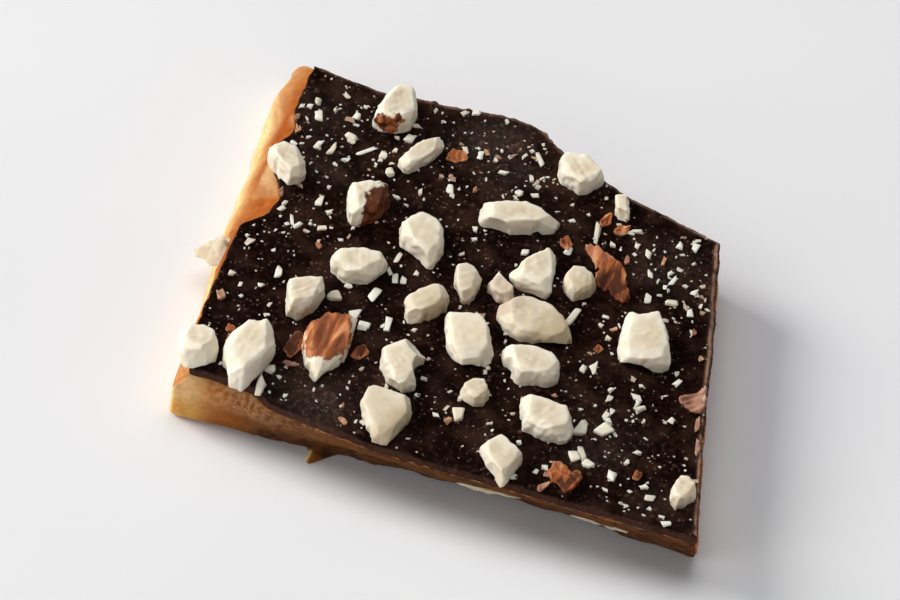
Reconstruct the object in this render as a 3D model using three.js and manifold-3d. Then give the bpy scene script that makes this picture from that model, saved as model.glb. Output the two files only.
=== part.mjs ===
// English toffee piece: a square broken from a sheet of butter toffee. A thin layer of dark
// chocolate covers the top, chopped almonds are set in the chocolate, and slivers of the almonds
// cooked into the toffee show in its broken sides.
// Millimetres, +Z up. The piece lies on the toffee's flat base, with the chocolate upwards.

import * as THREE from 'three';
import { ConvexGeometry } from 'three/addons/geometries/ConvexGeometry.js';
import { mergeVertices } from 'three/addons/utils/BufferGeometryUtils.js';
import Module from 'manifold-3d';

// ---- Driving dimensions ----------------------------------------------------------------------

const TOFFEE_THICKNESS = 6.0;
const CHOCOLATE_THICKNESS = 1.2;
const CHOCOLATE_TOP = TOFFEE_THICKNESS + CHOCOLATE_THICKNESS;

// The broken outline, anticlockwise from the front left corner, one list for each side. A point is
// [rim x, rim y, foot x, foot y]: the rim is the outline at the top of the toffee, and the foot is
// where the slanting broken side comes down to the base. The front side is undercut towards the
// right, the right side a little, and the left side slants outwards. A side ends at the first
// point of the next one.
const SIDES = {
  front: [[0, 0, -0.2, 1.2], [8, -0.3, 7.6, 1.9], [20, -1.1, 19.5, 3.4], [33, -0.6, 32.6, 4.5]],
  right: [[50, 0.3, 49.5, 4.3], [46.6, 14, 46.2, 14.5], [43.6, 27, 43.2, 27.3]],
  back: [
    [41, 37.1, 41, 37.7], [31, 39.5, 31.4, 40.3], [26.5, 41.5, 26.9, 42.4],
    [20, 44.6, 20, 45.4], [13, 43.7, 12.8, 44.6], [5, 42.7, 4.2, 44.6],
  ],
  left: [
    [-1.1, 43.2, -3.9, 46.6], [-1.05, 37.5, -4.25, 41.5], [-1, 30, -3.15, 31], [-0.7, 15, -2.1, 15.3],
  ],
};
const STEPS_PER_SIDE = 30;
const SLAB_CENTRE = new THREE.Vector2(22, 21);

const BASE_ROUNDING = 0.45;
const RIM_BEVEL = 0.5;
const RIM_INSET = 0.2;

// Waves round the outline, each [waves in a full turn, where they start, height]: the hollows of
// the toffee's sides, and the teeth of the chocolate's edge, which start from the rim inwards.
const SIDE_WAVES = [[11, 0, 0.22], [17, 1, 0.132]];
const EDGE_TEETH = [[23, 0, 0.047], [37, 2, 0.047], [8, 4, 0.047]];
const EDGE_SETBACK = 0.14;

// The profile of the chocolate's edge, from its underside up: the height as a share of the
// chocolate's thickness, and how far in from its widest outline.
const EDGE_PROFILE = [[0, 0.12], [0.25, 0], [0.75, 0.1], [1, 0.5]];

// Chips broken out of the chocolate's edge, which lay the toffee bare: the place on the rim, how
// far along the rim each chip reaches and how deep it goes into the piece.
const CHIPS = [
  { x: 3.2, y: -0.2, reach: 5.6, depth: 1.6 },
  { x: -0.9, y: 25.2, reach: 4.2, depth: 2.4 },
  { x: -0.9, y: 34.6, reach: 2.3, depth: 0.9 },
  { x: 24.0, y: 42.9, reach: 3.0, depth: 0.6 },
];
const BEVEL_PER_DEPTH = 0.75;

// The corners of a splinter of toffee that juts out at the foot of the front.
const SPLINTER = [
  [12.7, 3.0, 0], [16.2, 3.8, 0], [16.2, 4.2, 1.2], [13.2, 0.2, 0], [13.1, 0.3, 0.3], [14.0, 3.4, 1.6],
];

// Chopped almonds on the chocolate: the height, and the corners of the outline from above.
const ALMONDS = [
  { height: 2.4, outline: [
    [6.4, 38.3], [7.0, 40.8], [7.8, 41.9], [8.5, 42.1], [9.3, 41.6], [10.1, 39.8], [9.9, 38.4],
    [8.6, 37.2], [7.6, 37.0], [6.6, 37.5]
  ] },
  { height: 1.4, outline: [
    [10.3, 33.6], [11.2, 35.7], [12.4, 37.8], [13.1, 38.3], [13.6, 37.1], [12.9, 34.9],
    [11.6, 32.9], [10.7, 32.8]
  ] },
  { height: 2.0, outline: [
    [-0.6, 28.5], [-1.0, 29.2], [0.0, 30.5], [1.3, 30.4], [2.5, 29.4], [3.0, 28.0], [2.6, 27.1],
    [1.8, 26.6], [0.9, 27.5]
  ] },
  { height: 2.4, outline: [
    [7.9, 25.7], [7.5, 27.4], [8.8, 28.4], [9.8, 28.9], [10.7, 29.1], [11.2, 27.9], [11.0, 26.4],
    [10.4, 25.1], [9.5, 24.4], [8.6, 24.2]
  ] },
  { height: 2.1, outline: [
    [13.2, 25.2], [14.2, 27.3], [16.1, 27.1], [17.2, 26.0], [17.8, 24.0], [17.4, 22.1],
    [16.8, 22.0], [13.9, 23.6]
  ] },
  { height: 2.0, outline: [
    [19.1, 31.0], [20.3, 31.9], [23.1, 32.8], [25.3, 32.6], [26.7, 31.9], [26.2, 31.2],
    [23.6, 30.0], [21.1, 28.6], [19.8, 29.3]
  ] },
  { height: 2.0, outline: [
    [24.1, 39.2], [24.3, 40.3], [26.6, 40.8], [28.6, 39.3], [27.7, 37.7], [26.9, 37.1],
    [24.9, 37.9]
  ] },
  { height: 1.9, outline: [
    [8.7, 18.8], [9.0, 19.4], [11.2, 20.6], [12.8, 20.9], [13.6, 20.0], [13.5, 18.8], [12.5, 17.6],
    [10.5, 17.0], [9.0, 17.8]
  ] },
  { height: 2.2, outline: [
    [6.1, 13.6], [7.6, 14.8], [8.9, 15.3], [9.6, 14.0], [9.2, 12.0], [8.4, 10.8], [7.4, 10.2],
    [6.8, 11.2]
  ] },
  { height: 1.7, outline: [
    [9.6, 9.6], [10.5, 11.7], [13.3, 12.1], [13.8, 7.2], [12.9, 5.6], [12.3, 3.6], [10.8, 5.1],
    [9.5, 7.8]
  ] },
  { height: 2.7, outline: [
    [3.9, 6.4], [4.8, 7.5], [5.7, 7.9], [6.9, 7.0], [7.7, 4.8], [7.2, 2.2], [6.3, 0.1], [5.0, 0.2],
    [3.9, 1.8], [3.2, 4.3]
  ] },
  { height: 2.3, outline: [
    [-0.8, 2.9], [-0.4, 4.2], [0.9, 4.9], [2.2, 4.3], [2.9, 3.2], [2.9, 2.4], [2.3, 1.4],
    [0.9, 0.9], [0.1, 1.2]
  ] },
  { height: 1.9, outline: [
    [16.6, 9.2], [17.2, 10.0], [18.5, 11.4], [19.2, 11.2], [20.7, 10.0], [20.8, 6.7], [19.9, 5.8],
    [19.3, 5.3], [18.6, 6.0], [17.1, 7.9]
  ] },
  { height: 1.4, outline: [
    [16.7, 4.4], [17.2, 5.1], [18.0, 5.0], [20.9, 4.8], [21.5, 3.0], [21.2, 1.4], [20.5, -0.9],
    [19.0, -1.0], [18.0, 0.9], [16.8, 2.6]
  ] },
  { height: 1.8, outline: [
    [16.5, 16.4], [16.9, 17.2], [17.7, 18.1], [18.5, 18.9], [19.3, 19.1], [20.2, 18.3],
    [20.3, 17.4], [19.5, 16.2], [18.3, 14.9], [17.6, 14.5], [17.0, 15.3]
  ] },
  { height: 1.8, outline: [
    [20.6, 16.4], [22.7, 17.0], [23.4, 17.3], [24.4, 16.6], [25.6, 14.5], [26.2, 12.8],
    [25.5, 12.0], [23.8, 10.9], [23.0, 11.5], [22.0, 12.6], [21.2, 14.4]
  ] },
  { height: 1.7, outline: [
    [19.6, 22.3], [20.3, 23.1], [21.2, 22.9], [22.2, 21.9], [22.2, 19.8], [21.5, 19.0],
    [20.8, 19.3], [20.1, 20.4]
  ] },
  { height: 1.9, outline: [
    [26.6, 27.7], [27.1, 27.9], [27.6, 27.4], [28.0, 25.8], [28.4, 23.4], [28.2, 22.9],
    [25.6, 23.1], [24.6, 23.6], [24.3, 24.2], [25.2, 25.2]
  ] },
  { height: 1.6, outline: [
    [24.8, 19.4], [25.6, 20.7], [26.3, 21.3], [28.5, 21.5], [30.0, 20.9], [31.4, 19.7],
    [32.1, 18.4], [31.5, 17.6], [29.5, 17.0], [27.5, 16.7], [26.0, 17.3], [25.0, 18.3]
  ] },
  { height: 1.9, outline: [
    [26.8, 14.3], [28.0, 15.0], [29.8, 15.5], [31.3, 15.4], [32.2, 14.6], [32.4, 13.1],
    [31.9, 12.3], [30.4, 11.9], [29.2, 11.3], [28.6, 11.6], [27.1, 13.4]
  ] },
  { height: 1.5, outline: [
    [29.1, 25.9], [29.4, 26.8], [30.5, 27.2], [31.5, 26.8], [32.1, 25.9], [31.9, 25.0],
    [31.3, 24.3], [30.6, 23.7], [29.8, 24.1], [29.2, 25.0]
  ] },
  { height: 0.8, outline: [
    [29.9, 30.6], [30.4, 31.1], [32.9, 30.3], [33.6, 29.5], [35.1, 26.9], [34.7, 25.9],
    [34.1, 25.9], [31.9, 26.8], [31.3, 27.8]
  ] },
  { height: 1.3, outline: [
    [30.2, 37.6], [30.9, 38.2], [31.5, 38.0], [32.2, 35.9], [31.9, 35.3], [31.2, 35.2]
  ] },
  { height: 2.1, outline: [
    [35.9, 23.3], [37.9, 24.1], [38.6, 24.3], [39.5, 23.1], [40.6, 20.9], [41.3, 19.1],
    [40.9, 18.7], [38.2, 17.7], [37.0, 17.7], [36.4, 19.0], [36.0, 21.0]
  ] },
  { height: 1.9, outline: [
    [30.2, 9.2], [31.3, 9.5], [34.5, 9.3], [35.2, 8.4], [35.7, 7.1], [35.5, 6.2], [34.8, 5.7],
    [33.0, 5.6], [31.4, 6.0], [30.7, 7.4]
  ] },
  { height: 1.3, outline: [
    [24.7, 8.4], [25.3, 9.6], [26.3, 9.9], [27.1, 9.0], [27.4, 8.2], [27.1, 7.5], [26.3, 7.1],
    [25.5, 7.3], [24.8, 7.9]
  ] },
  { height: 1.7, outline: [
    [28.6, 1.6], [29.3, 2.7], [30.0, 3.6], [31.3, 2.9], [32.5, 2.0], [32.2, 0.4], [31.8, -1.1],
    [31.3, -1.3], [29.9, 0.2], [28.9, 1.1]
  ] },
  { height: 0.9, outline: [
    [34.8, 2.6], [35.3, 1.2], [36.0, 0.5], [37.5, -0.2], [38.2, 1.5], [37.8, 2.6], [36.3, 3.1],
    [35.3, 2.8]
  ] },
  { height: 1.5, outline: [
    [46.1, 5.0], [46.4, 6.0], [47.1, 6.1], [47.9, 5.4], [48.3, 4.6], [48.2, 3.9], [47.7, 3.1],
    [47.1, 2.5], [46.5, 2.9], [46.1, 3.8]
  ] },
  { height: 0.8, outline: [
    [43.2, 15.8], [43.6, 16.4], [44.2, 17.1], [44.9, 17.5], [45.5, 16.1], [45.3, 14.8],
    [44.0, 15.1]
  ] },
  { height: 1.3, outline: [
    [22.9, 22.0], [23.3, 23.5], [24.0, 23.0], [25.3, 22.0], [25.5, 21.3], [25.1, 20.6],
    [24.2, 20.6], [23.1, 21.4]
  ] },
];
const ALMOND_SKINS = new Set([4, 10, 22, 28, 30]);

// An almond's shape, in shares of its size: its foot and top are smaller than its belly, the belly
// and top lie at these heights, give or take some unevenness, and the top slopes a little.
const FOOT_SCALE = 0.97;
const TOP_SCALE = 0.88;
const BELLY_HEIGHT = 0.42;
const BELLY_UNEVENNESS = 0.12;
const TOP_HEIGHT = 0.9;
const TOP_SLOPE = 0.18;

// The first almond sliver stands out of the left side: the corners of a pointed flake.
const STANDING_SLIVER = [
  [-4.1, 18.6, 3.6], [-2.4, 21.1, 3.8], [-0.5, 20.8, 4.2], [-0.5, 17.6, 4.2], [-2.2, 17.3, 3.9],
  [-2.0, 19.4, 4.9], [-1.9, 19.2, 3.1],
];

// The others are broken off flush with the side: the middle, [thickness, length, depth into the
// toffee], the direction of their length about the vertical and their slope along it, in degrees.
const FLUSH_SLIVERS = [
  { at: [29.5, 2.4, 3.2], size: [1.2, 7.4, 3.0], turn: -86, slope: -7 },
  { at: [40.5, 2.6, 2.6], size: [1.0, 5.4, 3.0], turn: -92, slope: 9 },
  { at: [46.6, 12.4, 2.9], size: [1.2, 6.8, 3.0], turn: 16, slope: 5 },
  { at: [43.4, 27.0, 3.6], size: [1.0, 8.0, 3.0], turn: 13, slope: -8 },
  { at: [35.4, 38.8, 2.4], size: [1.1, 6.2, 3.0], turn: 76, slope: 6 },
  { at: [17.0, 45.0, 3.4], size: [1.3, 7.6, 3.0], turn: 91, slope: -9 },
  { at: [6.0, 43.1, 2.2], size: [1.0, 5.6, 3.0], turn: 98, slope: 10 },
];

// ---- Materials -------------------------------------------------------------------------------

const TOFFEE = new THREE.MeshStandardMaterial({ color: 0xc8894a, roughness: 0.38 });
const CHOCOLATE = new THREE.MeshStandardMaterial({ color: 0x2b1a12, roughness: 0.45 });
const ALMOND = new THREE.MeshStandardMaterial({ color: 0xefe4c8, roughness: 0.6 });
const ALMOND_SKIN = new THREE.MeshStandardMaterial({ color: 0xa5693d, roughness: 0.7 });

// ---- Small helpers ---------------------------------------------------------------------------

// A repeatable stream of numbers between -1 and 1.
function randomStream(seed) {
  let state = seed * 7919 + 17;
  return () => {
    state = (state * 16807) % 2147483647;
    return (state / 2147483647) * 2 - 1;
  };
}

function addMesh(group, name, geometry, material) {
  const mesh = new THREE.Mesh(geometry, material);
  mesh.name = name;
  group.add(mesh);
  return mesh;
}

// ---- The slab's outline ----------------------------------------------------------------------

// All the outline's steps, each with its rim and foot points. Every side is a smooth curve of its
// own, so that the corners between the sides stay sharp.
function outlineSteps() {
  const sides = Object.values(SIDES);
  return sides.flatMap((points, index) => {
    const next = sides[(index + 1) % sides.length][0];
    const all = [...points, next];
    const rim = new THREE.SplineCurve(all.map(([x, y]) => new THREE.Vector2(x, y)));
    const foot = new THREE.SplineCurve(all.map(([, , x, y]) => new THREE.Vector2(x, y)));
    return Array.from({ length: STEPS_PER_SIDE }, (_, step) => {
      const along = step / STEPS_PER_SIDE;
      return { rim: rim.getPoint(along), foot: foot.getPoint(along) };
    });
  });
}

// How deep the chocolate's edge is broken back at a point of the rim.
function chipDepth(rim) {
  const depths = CHIPS.map(({ x, y, reach, depth }) => {
    const share = rim.distanceTo(new THREE.Vector2(x, y)) / reach;
    return depth * Math.max(0, 1 - share ** 3);
  });
  return Math.max(...depths);
}

// The slab's outline at a height, moved inwards by a distance.
function outlinePoint(step, height, inset) {
  const point = step.foot.clone().lerp(step.rim, Math.min(height / TOFFEE_THICKNESS, 1));
  const inwards = SLAB_CENTRE.clone().sub(point).normalize();
  point.addScaledVector(inwards, inset);
  return new THREE.Vector3(point.x, point.y, height);
}

// A closed solid through a stack of rings, from the lowest to the highest, with both ends closed
// by fans round a middle point.
function stackedRings(rings) {
  const count = rings[0].length;
  const middles = [rings[0], rings.at(-1)].map(
    (ring) => new THREE.Vector3(SLAB_CENTRE.x, SLAB_CENTRE.y, ring[0].z),
  );
  const positions = [...rings.flat(), ...middles].flatMap((point) => point.toArray());
  const lowMiddle = rings.length * count;
  const lastRing = (rings.length - 1) * count;
  const faces = [];
  for (let step = 0; step < count; step++) {
    const next = (step + 1) % count;
    for (let ring = 0; ring < rings.length - 1; ring++) {
      const low = ring * count;
      const high = low + count;
      faces.push(low + step, low + next, high + next, low + step, high + next, high + step);
    }
    faces.push(lowMiddle, next, step, lowMiddle + 1, lastRing + step, lastRing + next);
  }
  const geometry = new THREE.BufferGeometry();
  geometry.setAttribute('position', new THREE.Float32BufferAttribute(positions, 3));
  geometry.setIndex(faces);
  return geometry;
}

// The height of a list of waves at each of the outline's steps.
function wavesRound(waves, steps) {
  return steps.map((_, index) => {
    const turn = (index / steps.length) * Math.PI * 2;
    return waves.reduce((sum, [count, start, height]) => {
      return sum + height * Math.sin(turn * count + start);
    }, 0);
  });
}

// ---- Toffee and chocolate --------------------------------------------------------------------

// The toffee: a flat base with a rounded foot, slightly wavy broken sides and a flat top, with a
// bevel that runs deeper where the edge is chipped.
function toffeeGeometry(steps) {
  const hollows = wavesRound(SIDE_WAVES, steps);
  const shoulders = steps.map(
    ({ rim }) => TOFFEE_THICKNESS - RIM_BEVEL - chipDepth(rim) * BEVEL_PER_DEPTH,
  );
  return stackedRings([
    steps.map((step) => outlinePoint(step, 0, BASE_ROUNDING)),
    steps.map((step) => outlinePoint(step, BASE_ROUNDING, 0)),
    steps.map((step, index) => outlinePoint(step, shoulders[index] / 2, hollows[index])),
    steps.map((step, index) => outlinePoint(step, shoulders[index], 0)),
    steps.map((step) => outlinePoint(step, TOFFEE_THICKNESS, RIM_INSET + chipDepth(step.rim))),
  ]);
}

// The chocolate: a thin layer on the flat of the toffee, with a ragged edge and a rounded rim.
function chocolateGeometry(steps) {
  const teeth = wavesRound(EDGE_TEETH, steps);
  const setback = steps.map(({ rim }, index) => chipDepth(rim) + EDGE_SETBACK + teeth[index]);
  const rings = EDGE_PROFILE.map(([share, inset]) => {
    const height = TOFFEE_THICKNESS + CHOCOLATE_THICKNESS * share;
    return steps.map((step, index) => outlinePoint(step, height, inset + setback[index]));
  });
  return stackedRings(rings);
}

// ---- Almonds ---------------------------------------------------------------------------------

// A chopped almond: its outline at the foot, the belly and the top, wrapped in one convex skin. The
// foot and top are drawn in towards the outline's middle, and the top slopes a little.
function almondGeometry({ height, outline }, seed) {
  const random = randomStream(seed);
  const corners = outline.map(([x, y]) => new THREE.Vector2(x, y));
  const box = new THREE.Box2().setFromPoints(corners);
  const middle = box.getCenter(new THREE.Vector2());
  const size = box.getSize(new THREE.Vector2());
  const slopes = [random() * TOP_SLOPE, random() * TOP_SLOPE];
  const raised = (corner, scale, share) => {
    const flat = middle.clone().lerp(corner, scale);
    return new THREE.Vector3(flat.x, flat.y, CHOCOLATE_TOP + height * share);
  };
  const foot = corners.map((corner) => raised(corner, FOOT_SCALE, 0));
  const belly = corners.map((corner) => {
    return raised(corner, 1, BELLY_HEIGHT + random() * BELLY_UNEVENNESS);
  });
  const top = corners.map((corner) => {
    const [across, along] = corner.clone().sub(middle).divide(size).toArray();
    return raised(corner, TOP_SCALE, TOP_HEIGHT + slopes[0] * across + slopes[1] * along);
  });
  return new ConvexGeometry([...foot, ...belly, ...top]);
}

function addAlmonds(group) {
  ALMONDS.forEach((almond, index) => {
    const number = index + 1;
    const material = ALMOND_SKINS.has(number) ? ALMOND_SKIN : ALMOND;
    const name = `almond_${String(number).padStart(2, '0')}`;
    addMesh(group, name, almondGeometry(almond, number), material);
  });
}

// A sharp cornered fragment from a list of its corners.
function fragmentGeometry(corners) {
  return new ConvexGeometry(corners.map((corner) => new THREE.Vector3(...corner)));
}

// A sliver before it is broken off at the toffee's side: a flat spindle.
function spindleGeometry({ at, size: [thickness, length, depth], turn, slope }) {
  const blank = new THREE.SphereGeometry(0.5, 10, 6);
  blank.scale(depth, length, thickness);
  blank.rotateX(THREE.MathUtils.degToRad(slope));
  blank.rotateZ(THREE.MathUtils.degToRad(turn));
  blank.translate(...at);
  return blank;
}

// ---- Cutting ---------------------------------------------------------------------------------

const wasm = await Module();
wasm.setup();

function toSolid(geometry) {
  const bare = geometry.clone();
  bare.deleteAttribute('normal');
  bare.deleteAttribute('uv');
  const merged = mergeVertices(bare, 1e-4);
  return new wasm.Manifold(
    new wasm.Mesh({
      numProp: 3,
      vertProperties: new Float32Array(merged.attributes.position.array),
      triVerts: new Uint32Array(merged.index.array),
    }),
  );
}

function toGeometry(solid) {
  const { vertProperties, triVerts } = solid.getMesh();
  const geometry = new THREE.BufferGeometry();
  geometry.setAttribute('position', new THREE.BufferAttribute(vertProperties, 3));
  geometry.setIndex(new THREE.BufferAttribute(triVerts, 1));
  return geometry;
}

// ---- The whole piece -------------------------------------------------------------------------

function buildPiece() {
  const group = new THREE.Group();
  const steps = outlineSteps();

  let toffee = toSolid(toffeeGeometry(steps)).add(toSolid(fragmentGeometry(SPLINTER)));
  const standing = toSolid(fragmentGeometry(STANDING_SLIVER));
  const spindles = FLUSH_SLIVERS.map((sliver) => toSolid(spindleGeometry(sliver)));
  const slivers = [standing, ...spindles.map((spindle) => spindle.intersect(toffee))];
  for (const cutter of [standing, ...spindles]) toffee = toffee.subtract(cutter);

  addMesh(group, 'toffee', toGeometry(toffee), TOFFEE);
  addMesh(group, 'chocolate', chocolateGeometry(steps), CHOCOLATE);
  slivers.forEach((sliver, index) => {
    addMesh(group, `sliver_${index + 1}`, toGeometry(sliver), ALMOND);
  });
  addAlmonds(group);

  // The origin is under the middle of the whole piece's box.
  const box = new THREE.Box3().setFromObject(group, true);
  const middle = box.getCenter(new THREE.Vector3());
  group.position.set(-middle.x, -middle.y, 0);
  return group;
}

export default buildPiece();
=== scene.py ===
"""English toffee piece: a square broken from a sheet of butter toffee, with dark chocolate and chopped
almonds on it. All sizes inside the shape functions are millimetres, and meshes are made in metres."""

import math

import bpy
import numpy as np
from bpy.props import FloatProperty, FloatVectorProperty, IntProperty, PointerProperty
from mathutils import Matrix, Vector


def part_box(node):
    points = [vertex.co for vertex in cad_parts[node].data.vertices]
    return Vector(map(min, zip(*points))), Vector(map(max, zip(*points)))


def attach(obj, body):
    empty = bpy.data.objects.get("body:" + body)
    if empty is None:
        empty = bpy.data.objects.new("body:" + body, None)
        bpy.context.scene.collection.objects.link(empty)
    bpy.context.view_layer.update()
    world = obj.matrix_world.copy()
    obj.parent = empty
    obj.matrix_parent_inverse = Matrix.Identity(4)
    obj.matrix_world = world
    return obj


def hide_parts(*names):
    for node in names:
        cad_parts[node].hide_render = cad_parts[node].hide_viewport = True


bl_info = {
    "name": "English Toffee Piece",
    "version": (1, 0, 0),
    "blender": (4, 5, 0),
    "location": "3D View > Sidebar > Toffee",
    "description": "Builds a broken square of butter toffee with dark chocolate and chopped almonds",
    "category": "Add Mesh",
}

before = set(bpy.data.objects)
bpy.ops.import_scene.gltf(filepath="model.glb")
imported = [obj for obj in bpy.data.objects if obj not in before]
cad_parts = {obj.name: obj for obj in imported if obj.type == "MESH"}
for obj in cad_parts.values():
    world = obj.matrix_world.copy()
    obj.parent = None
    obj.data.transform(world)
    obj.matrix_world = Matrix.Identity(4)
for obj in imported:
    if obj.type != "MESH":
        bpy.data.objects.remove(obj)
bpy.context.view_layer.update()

# ---- Places and sizes taken from the frame ----

MM = 0.001
BODY = "root"


def box_mm(node):
    """The low and high corners of a node of the frame, in millimetres."""
    low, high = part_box(node)
    return np.array(low) / MM, np.array(high) / MM


TOFFEE_LOW, TOFFEE_HIGH = box_mm("toffee")
CHOCOLATE_LOW, CHOCOLATE_HIGH = box_mm("chocolate")
TOFFEE_TOP = TOFFEE_HIGH[2]
CHOCOLATE_TOP = CHOCOLATE_HIGH[2]

# The slab's own places are counted from the front left corner of its rim, which lies this far in
# from the low corner of the toffee's box. The outline's rays start from the slab's middle.
RIM_CORNER = TOFFEE_LOW[:2] + (4.027, 0.902)
MIDDLE = RIM_CORNER + (22.0, 21.0)
CORNERS = np.array([(50.0, 0.3), (41.0, 37.1), (-1.1, 43.2), (0.0, 0.0)])

ALMOND_COUNT = sum(name.startswith("almond_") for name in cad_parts)
SLIVER_COUNT = sum(name.startswith("sliver_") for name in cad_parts)
FLUSH_SLIVERS = [f"sliver_{number}" for number in range(2, SLIVER_COUNT + 1)]
STANDING_SLIVER = "sliver_1"

# ---- Resolution ----

SIDE_COLUMNS = 250
COLUMNS = 4 * SIDE_COLUMNS
TOFFEE_SIDE_ROWS = 54
# How far out the rings of the toffee's base and top lie, as shares of its outline.
BASE_SHARES = (0.02, 0.2, 0.45, 0.7, 0.86, 0.94, 0.975, 0.99)
TOP_SHARES = (0.994, 0.982, 0.965, 0.945, 0.92, 0.89, 0.86, 0.83, 0.79, 0.7, 0.5, 0.25, 0.02)
# How many cells the sides of the cubes have that almonds, slivers, bits and specks are made from.
ALMOND_CELLS = 38
SLIVER_CELLS = 16
BIT_CELLS = 6
SPECK_CELLS = 1
FLAKE_COLUMNS = 72


# ---- Settings ----


def colour_property(name, description, default):
    """A colour of the settings, in linear light."""
    return FloatVectorProperty(
        name=name, description=description, default=default, subtype="COLOR", min=0.0, max=1.0
    )


def size_property(name, description, default):
    """A small length of the settings, stated in millimetres and kept in metres."""
    return FloatProperty(
        name=name, description=description, default=default * MM, unit="LENGTH", min=0.0, precision=5
    )


class ToffeeSettings(bpy.types.PropertyGroup):
    """Colours and relief of the butter toffee."""

    amber: colour_property("Amber", "Toffee where it is clear and deep", (0.47, 0.135, 0.022))
    # Cream: cloudy butter, and also a painted glow on the foot of the left side and the front corner.
    cream: colour_property("Cream", "Toffee where it is cloudy with butter", (0.70, 0.37, 0.095))
    clear: colour_property("Clear", "Toffee along the top of the left side", (0.31, 0.071, 0.010))
    # Front shade: painted shade on the front side, darker to the right and at its foot.
    browned: colour_property("Browned", "Toffee where the front is cooked darker", (0.040, 0.015, 0.007))
    burnt: colour_property("Burnt", "Dark flecks of caught sugar", (0.22, 0.07, 0.02))
    lit: colour_property("Lit", "Toffee where light comes through a thin edge", (0.86, 0.64, 0.32))
    dust: colour_property("Dust", "Dust on the broken bevel", (0.62, 0.37, 0.20))
    crumb: colour_property("Crumb", "Almond crumbs cooked into the toffee", (0.80, 0.50, 0.28))
    glow_depth: size_property("Glow depth", "How far light spreads inside the toffee", 2.6)
    hollow_depth: size_property("Hollow depth", "Height of the broken sides' shallow waves", 0.11)
    ripple_depth: size_property("Ripple depth", "Height of the fine ripples on the broken sides", 0.03)
    pits: IntProperty(name="Pits", description="Open bubbles in the broken sides", default=130, min=0)


class ChocolateSettings(bpy.types.PropertyGroup):
    """Colours and relief of the dark chocolate."""

    dark: colour_property("Dark", "Chocolate where it is darkest", (0.0050, 0.0016, 0.0008))
    worn: colour_property("Worn", "Chocolate where it is scuffed or broken", (0.070, 0.031, 0.021))
    # Bloom: a grey bloom, and a painted sheen on the scraped patches.
    bloom_and_sheen: colour_property("Bloom", "Greyish bloom on the surface", (0.115, 0.080, 0.066))
    # Chipped: a painted highlight, in patches, along the top edge of the right and back sides.
    chipped: colour_property("Chipped", "The rim of the right and back sides", (0.34, 0.185, 0.125))
    crumb: colour_property("Crumb", "Chocolate crumbs", (0.085, 0.040, 0.026))
    grit: colour_property("Grit", "Almond grit half covered by chocolate", (0.26, 0.19, 0.15))
    dust: colour_property("Dust", "Almond dust", (0.74, 0.67, 0.57))
    wave_height: size_property("Wave height", "Height of the slow waves of the surface", 0.05)
    rim_height: size_property("Rim height", "Chocolate drawn up against each almond", 0.16)
    edge_bite: size_property("Edge bite", "How ragged the chocolate's edge is", 0.09)
    crumbs: IntProperty(name="Crumbs", description="Almond crumbs under it", default=300, min=0)


class AlmondSettings(bpy.types.PropertyGroup):
    """Colours and relief of the almonds."""

    white: colour_property("White", "Fresh cut almond", (0.92, 0.85, 0.71))
    ivory: colour_property("Ivory", "Almond towards its heart", (0.68, 0.57, 0.39))
    # Tan: a tan tone, and painted shade on the right and front sides of the larger almonds.
    tan: colour_property("Tan", "Almond on its darker sides", (0.54, 0.43, 0.28))
    skin: colour_property("Skin", "Almond skin", (0.44, 0.130, 0.038))
    # Dark skin: the darker skins' colour, and painted shade in the furrows.
    skin_dark_and_furrow_shade: colour_property("Dark skin", "Furrows of the skin", (0.085, 0.022, 0.008))
    # Painted highlight on the ridges of the paler skins.
    skin_ridge_highlight: colour_property("Skin ridge", "Ridges of the paler skins", (0.74, 0.34, 0.15))
    pink: colour_property("Pink", "Inside of a thin flake", (0.40, 0.235, 0.175))
    # Painted shade in the furrows of a thin flake.
    pink_furrow_shade: colour_property("Dark pink", "Furrows of a thin flake", (0.20, 0.095, 0.065))
    depth: size_property("Set depth", "How deep an almond is set in the chocolate", 0.3)
    dent: size_property("Dents", "Depth of the hollows broken in an almond", 0.10)
    grain: size_property("Grain", "Height of the unevenness of a cut face", 0.030)
    specks: IntProperty(name="Specks", description="Fine almond specks on top", default=470, min=0)


# ---- Small mathematics ----


def smooth_step(low, high, value):
    """0 at low, 1 at high, and 3 t squared less 2 t cubed between them. Low may be above high."""
    share = np.clip((value - low) / (high - low), 0, 1)
    return share * share * (3 - 2 * share)


def unit(vectors):
    """The vectors with length 1."""
    return vectors / np.maximum(np.linalg.norm(vectors, axis=-1, keepdims=True), 1e-9)


def waves(points, wavelength, seed, count=16):
    """Even unevenness about zero: the sum of sines of the points along random directions, each with
    its own start, and with wavelengths within a third of the given one."""
    rng = np.random.default_rng(seed)
    direction = unit(rng.normal(size=(count, points.shape[-1])))
    rate = 2 * math.pi / (wavelength * rng.uniform(0.67, 1.33, count))
    start = rng.uniform(0, 2 * math.pi, count)
    return np.sin(points @ (direction * rate[:, None]).T + start).sum(axis=-1) * math.sqrt(2 / count)


def blur_round(table, spread):
    """Each row of a table that closes on itself, averaged with Gaussian weights over its neighbours."""
    reach = int(math.ceil(3 * spread))
    weights = np.exp(-0.5 * (np.arange(-reach, reach + 1) / spread) ** 2)
    shifted = (np.roll(table, step, axis=1) * weight
               for step, weight in zip(range(-reach, reach + 1), weights))
    return sum(shifted) / weights.sum()


def bumps(points, places, radii, heights):
    """Round bumps: over each place, its height times the square of 1 - (distance / radius) squared,
    and at any point the highest of them."""
    total = np.zeros(len(points))
    for place, radius, height in zip(places, radii, heights):
        near = np.abs(points[:, 0] - place[0]) < radius
        share = ((points[near] - place) ** 2).sum(axis=1) / radius**2
        total[near] = np.maximum(total[near], height * np.maximum(1 - share, 0) ** 2)
    return total


# ---- Reading the frame's solids ----


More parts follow.
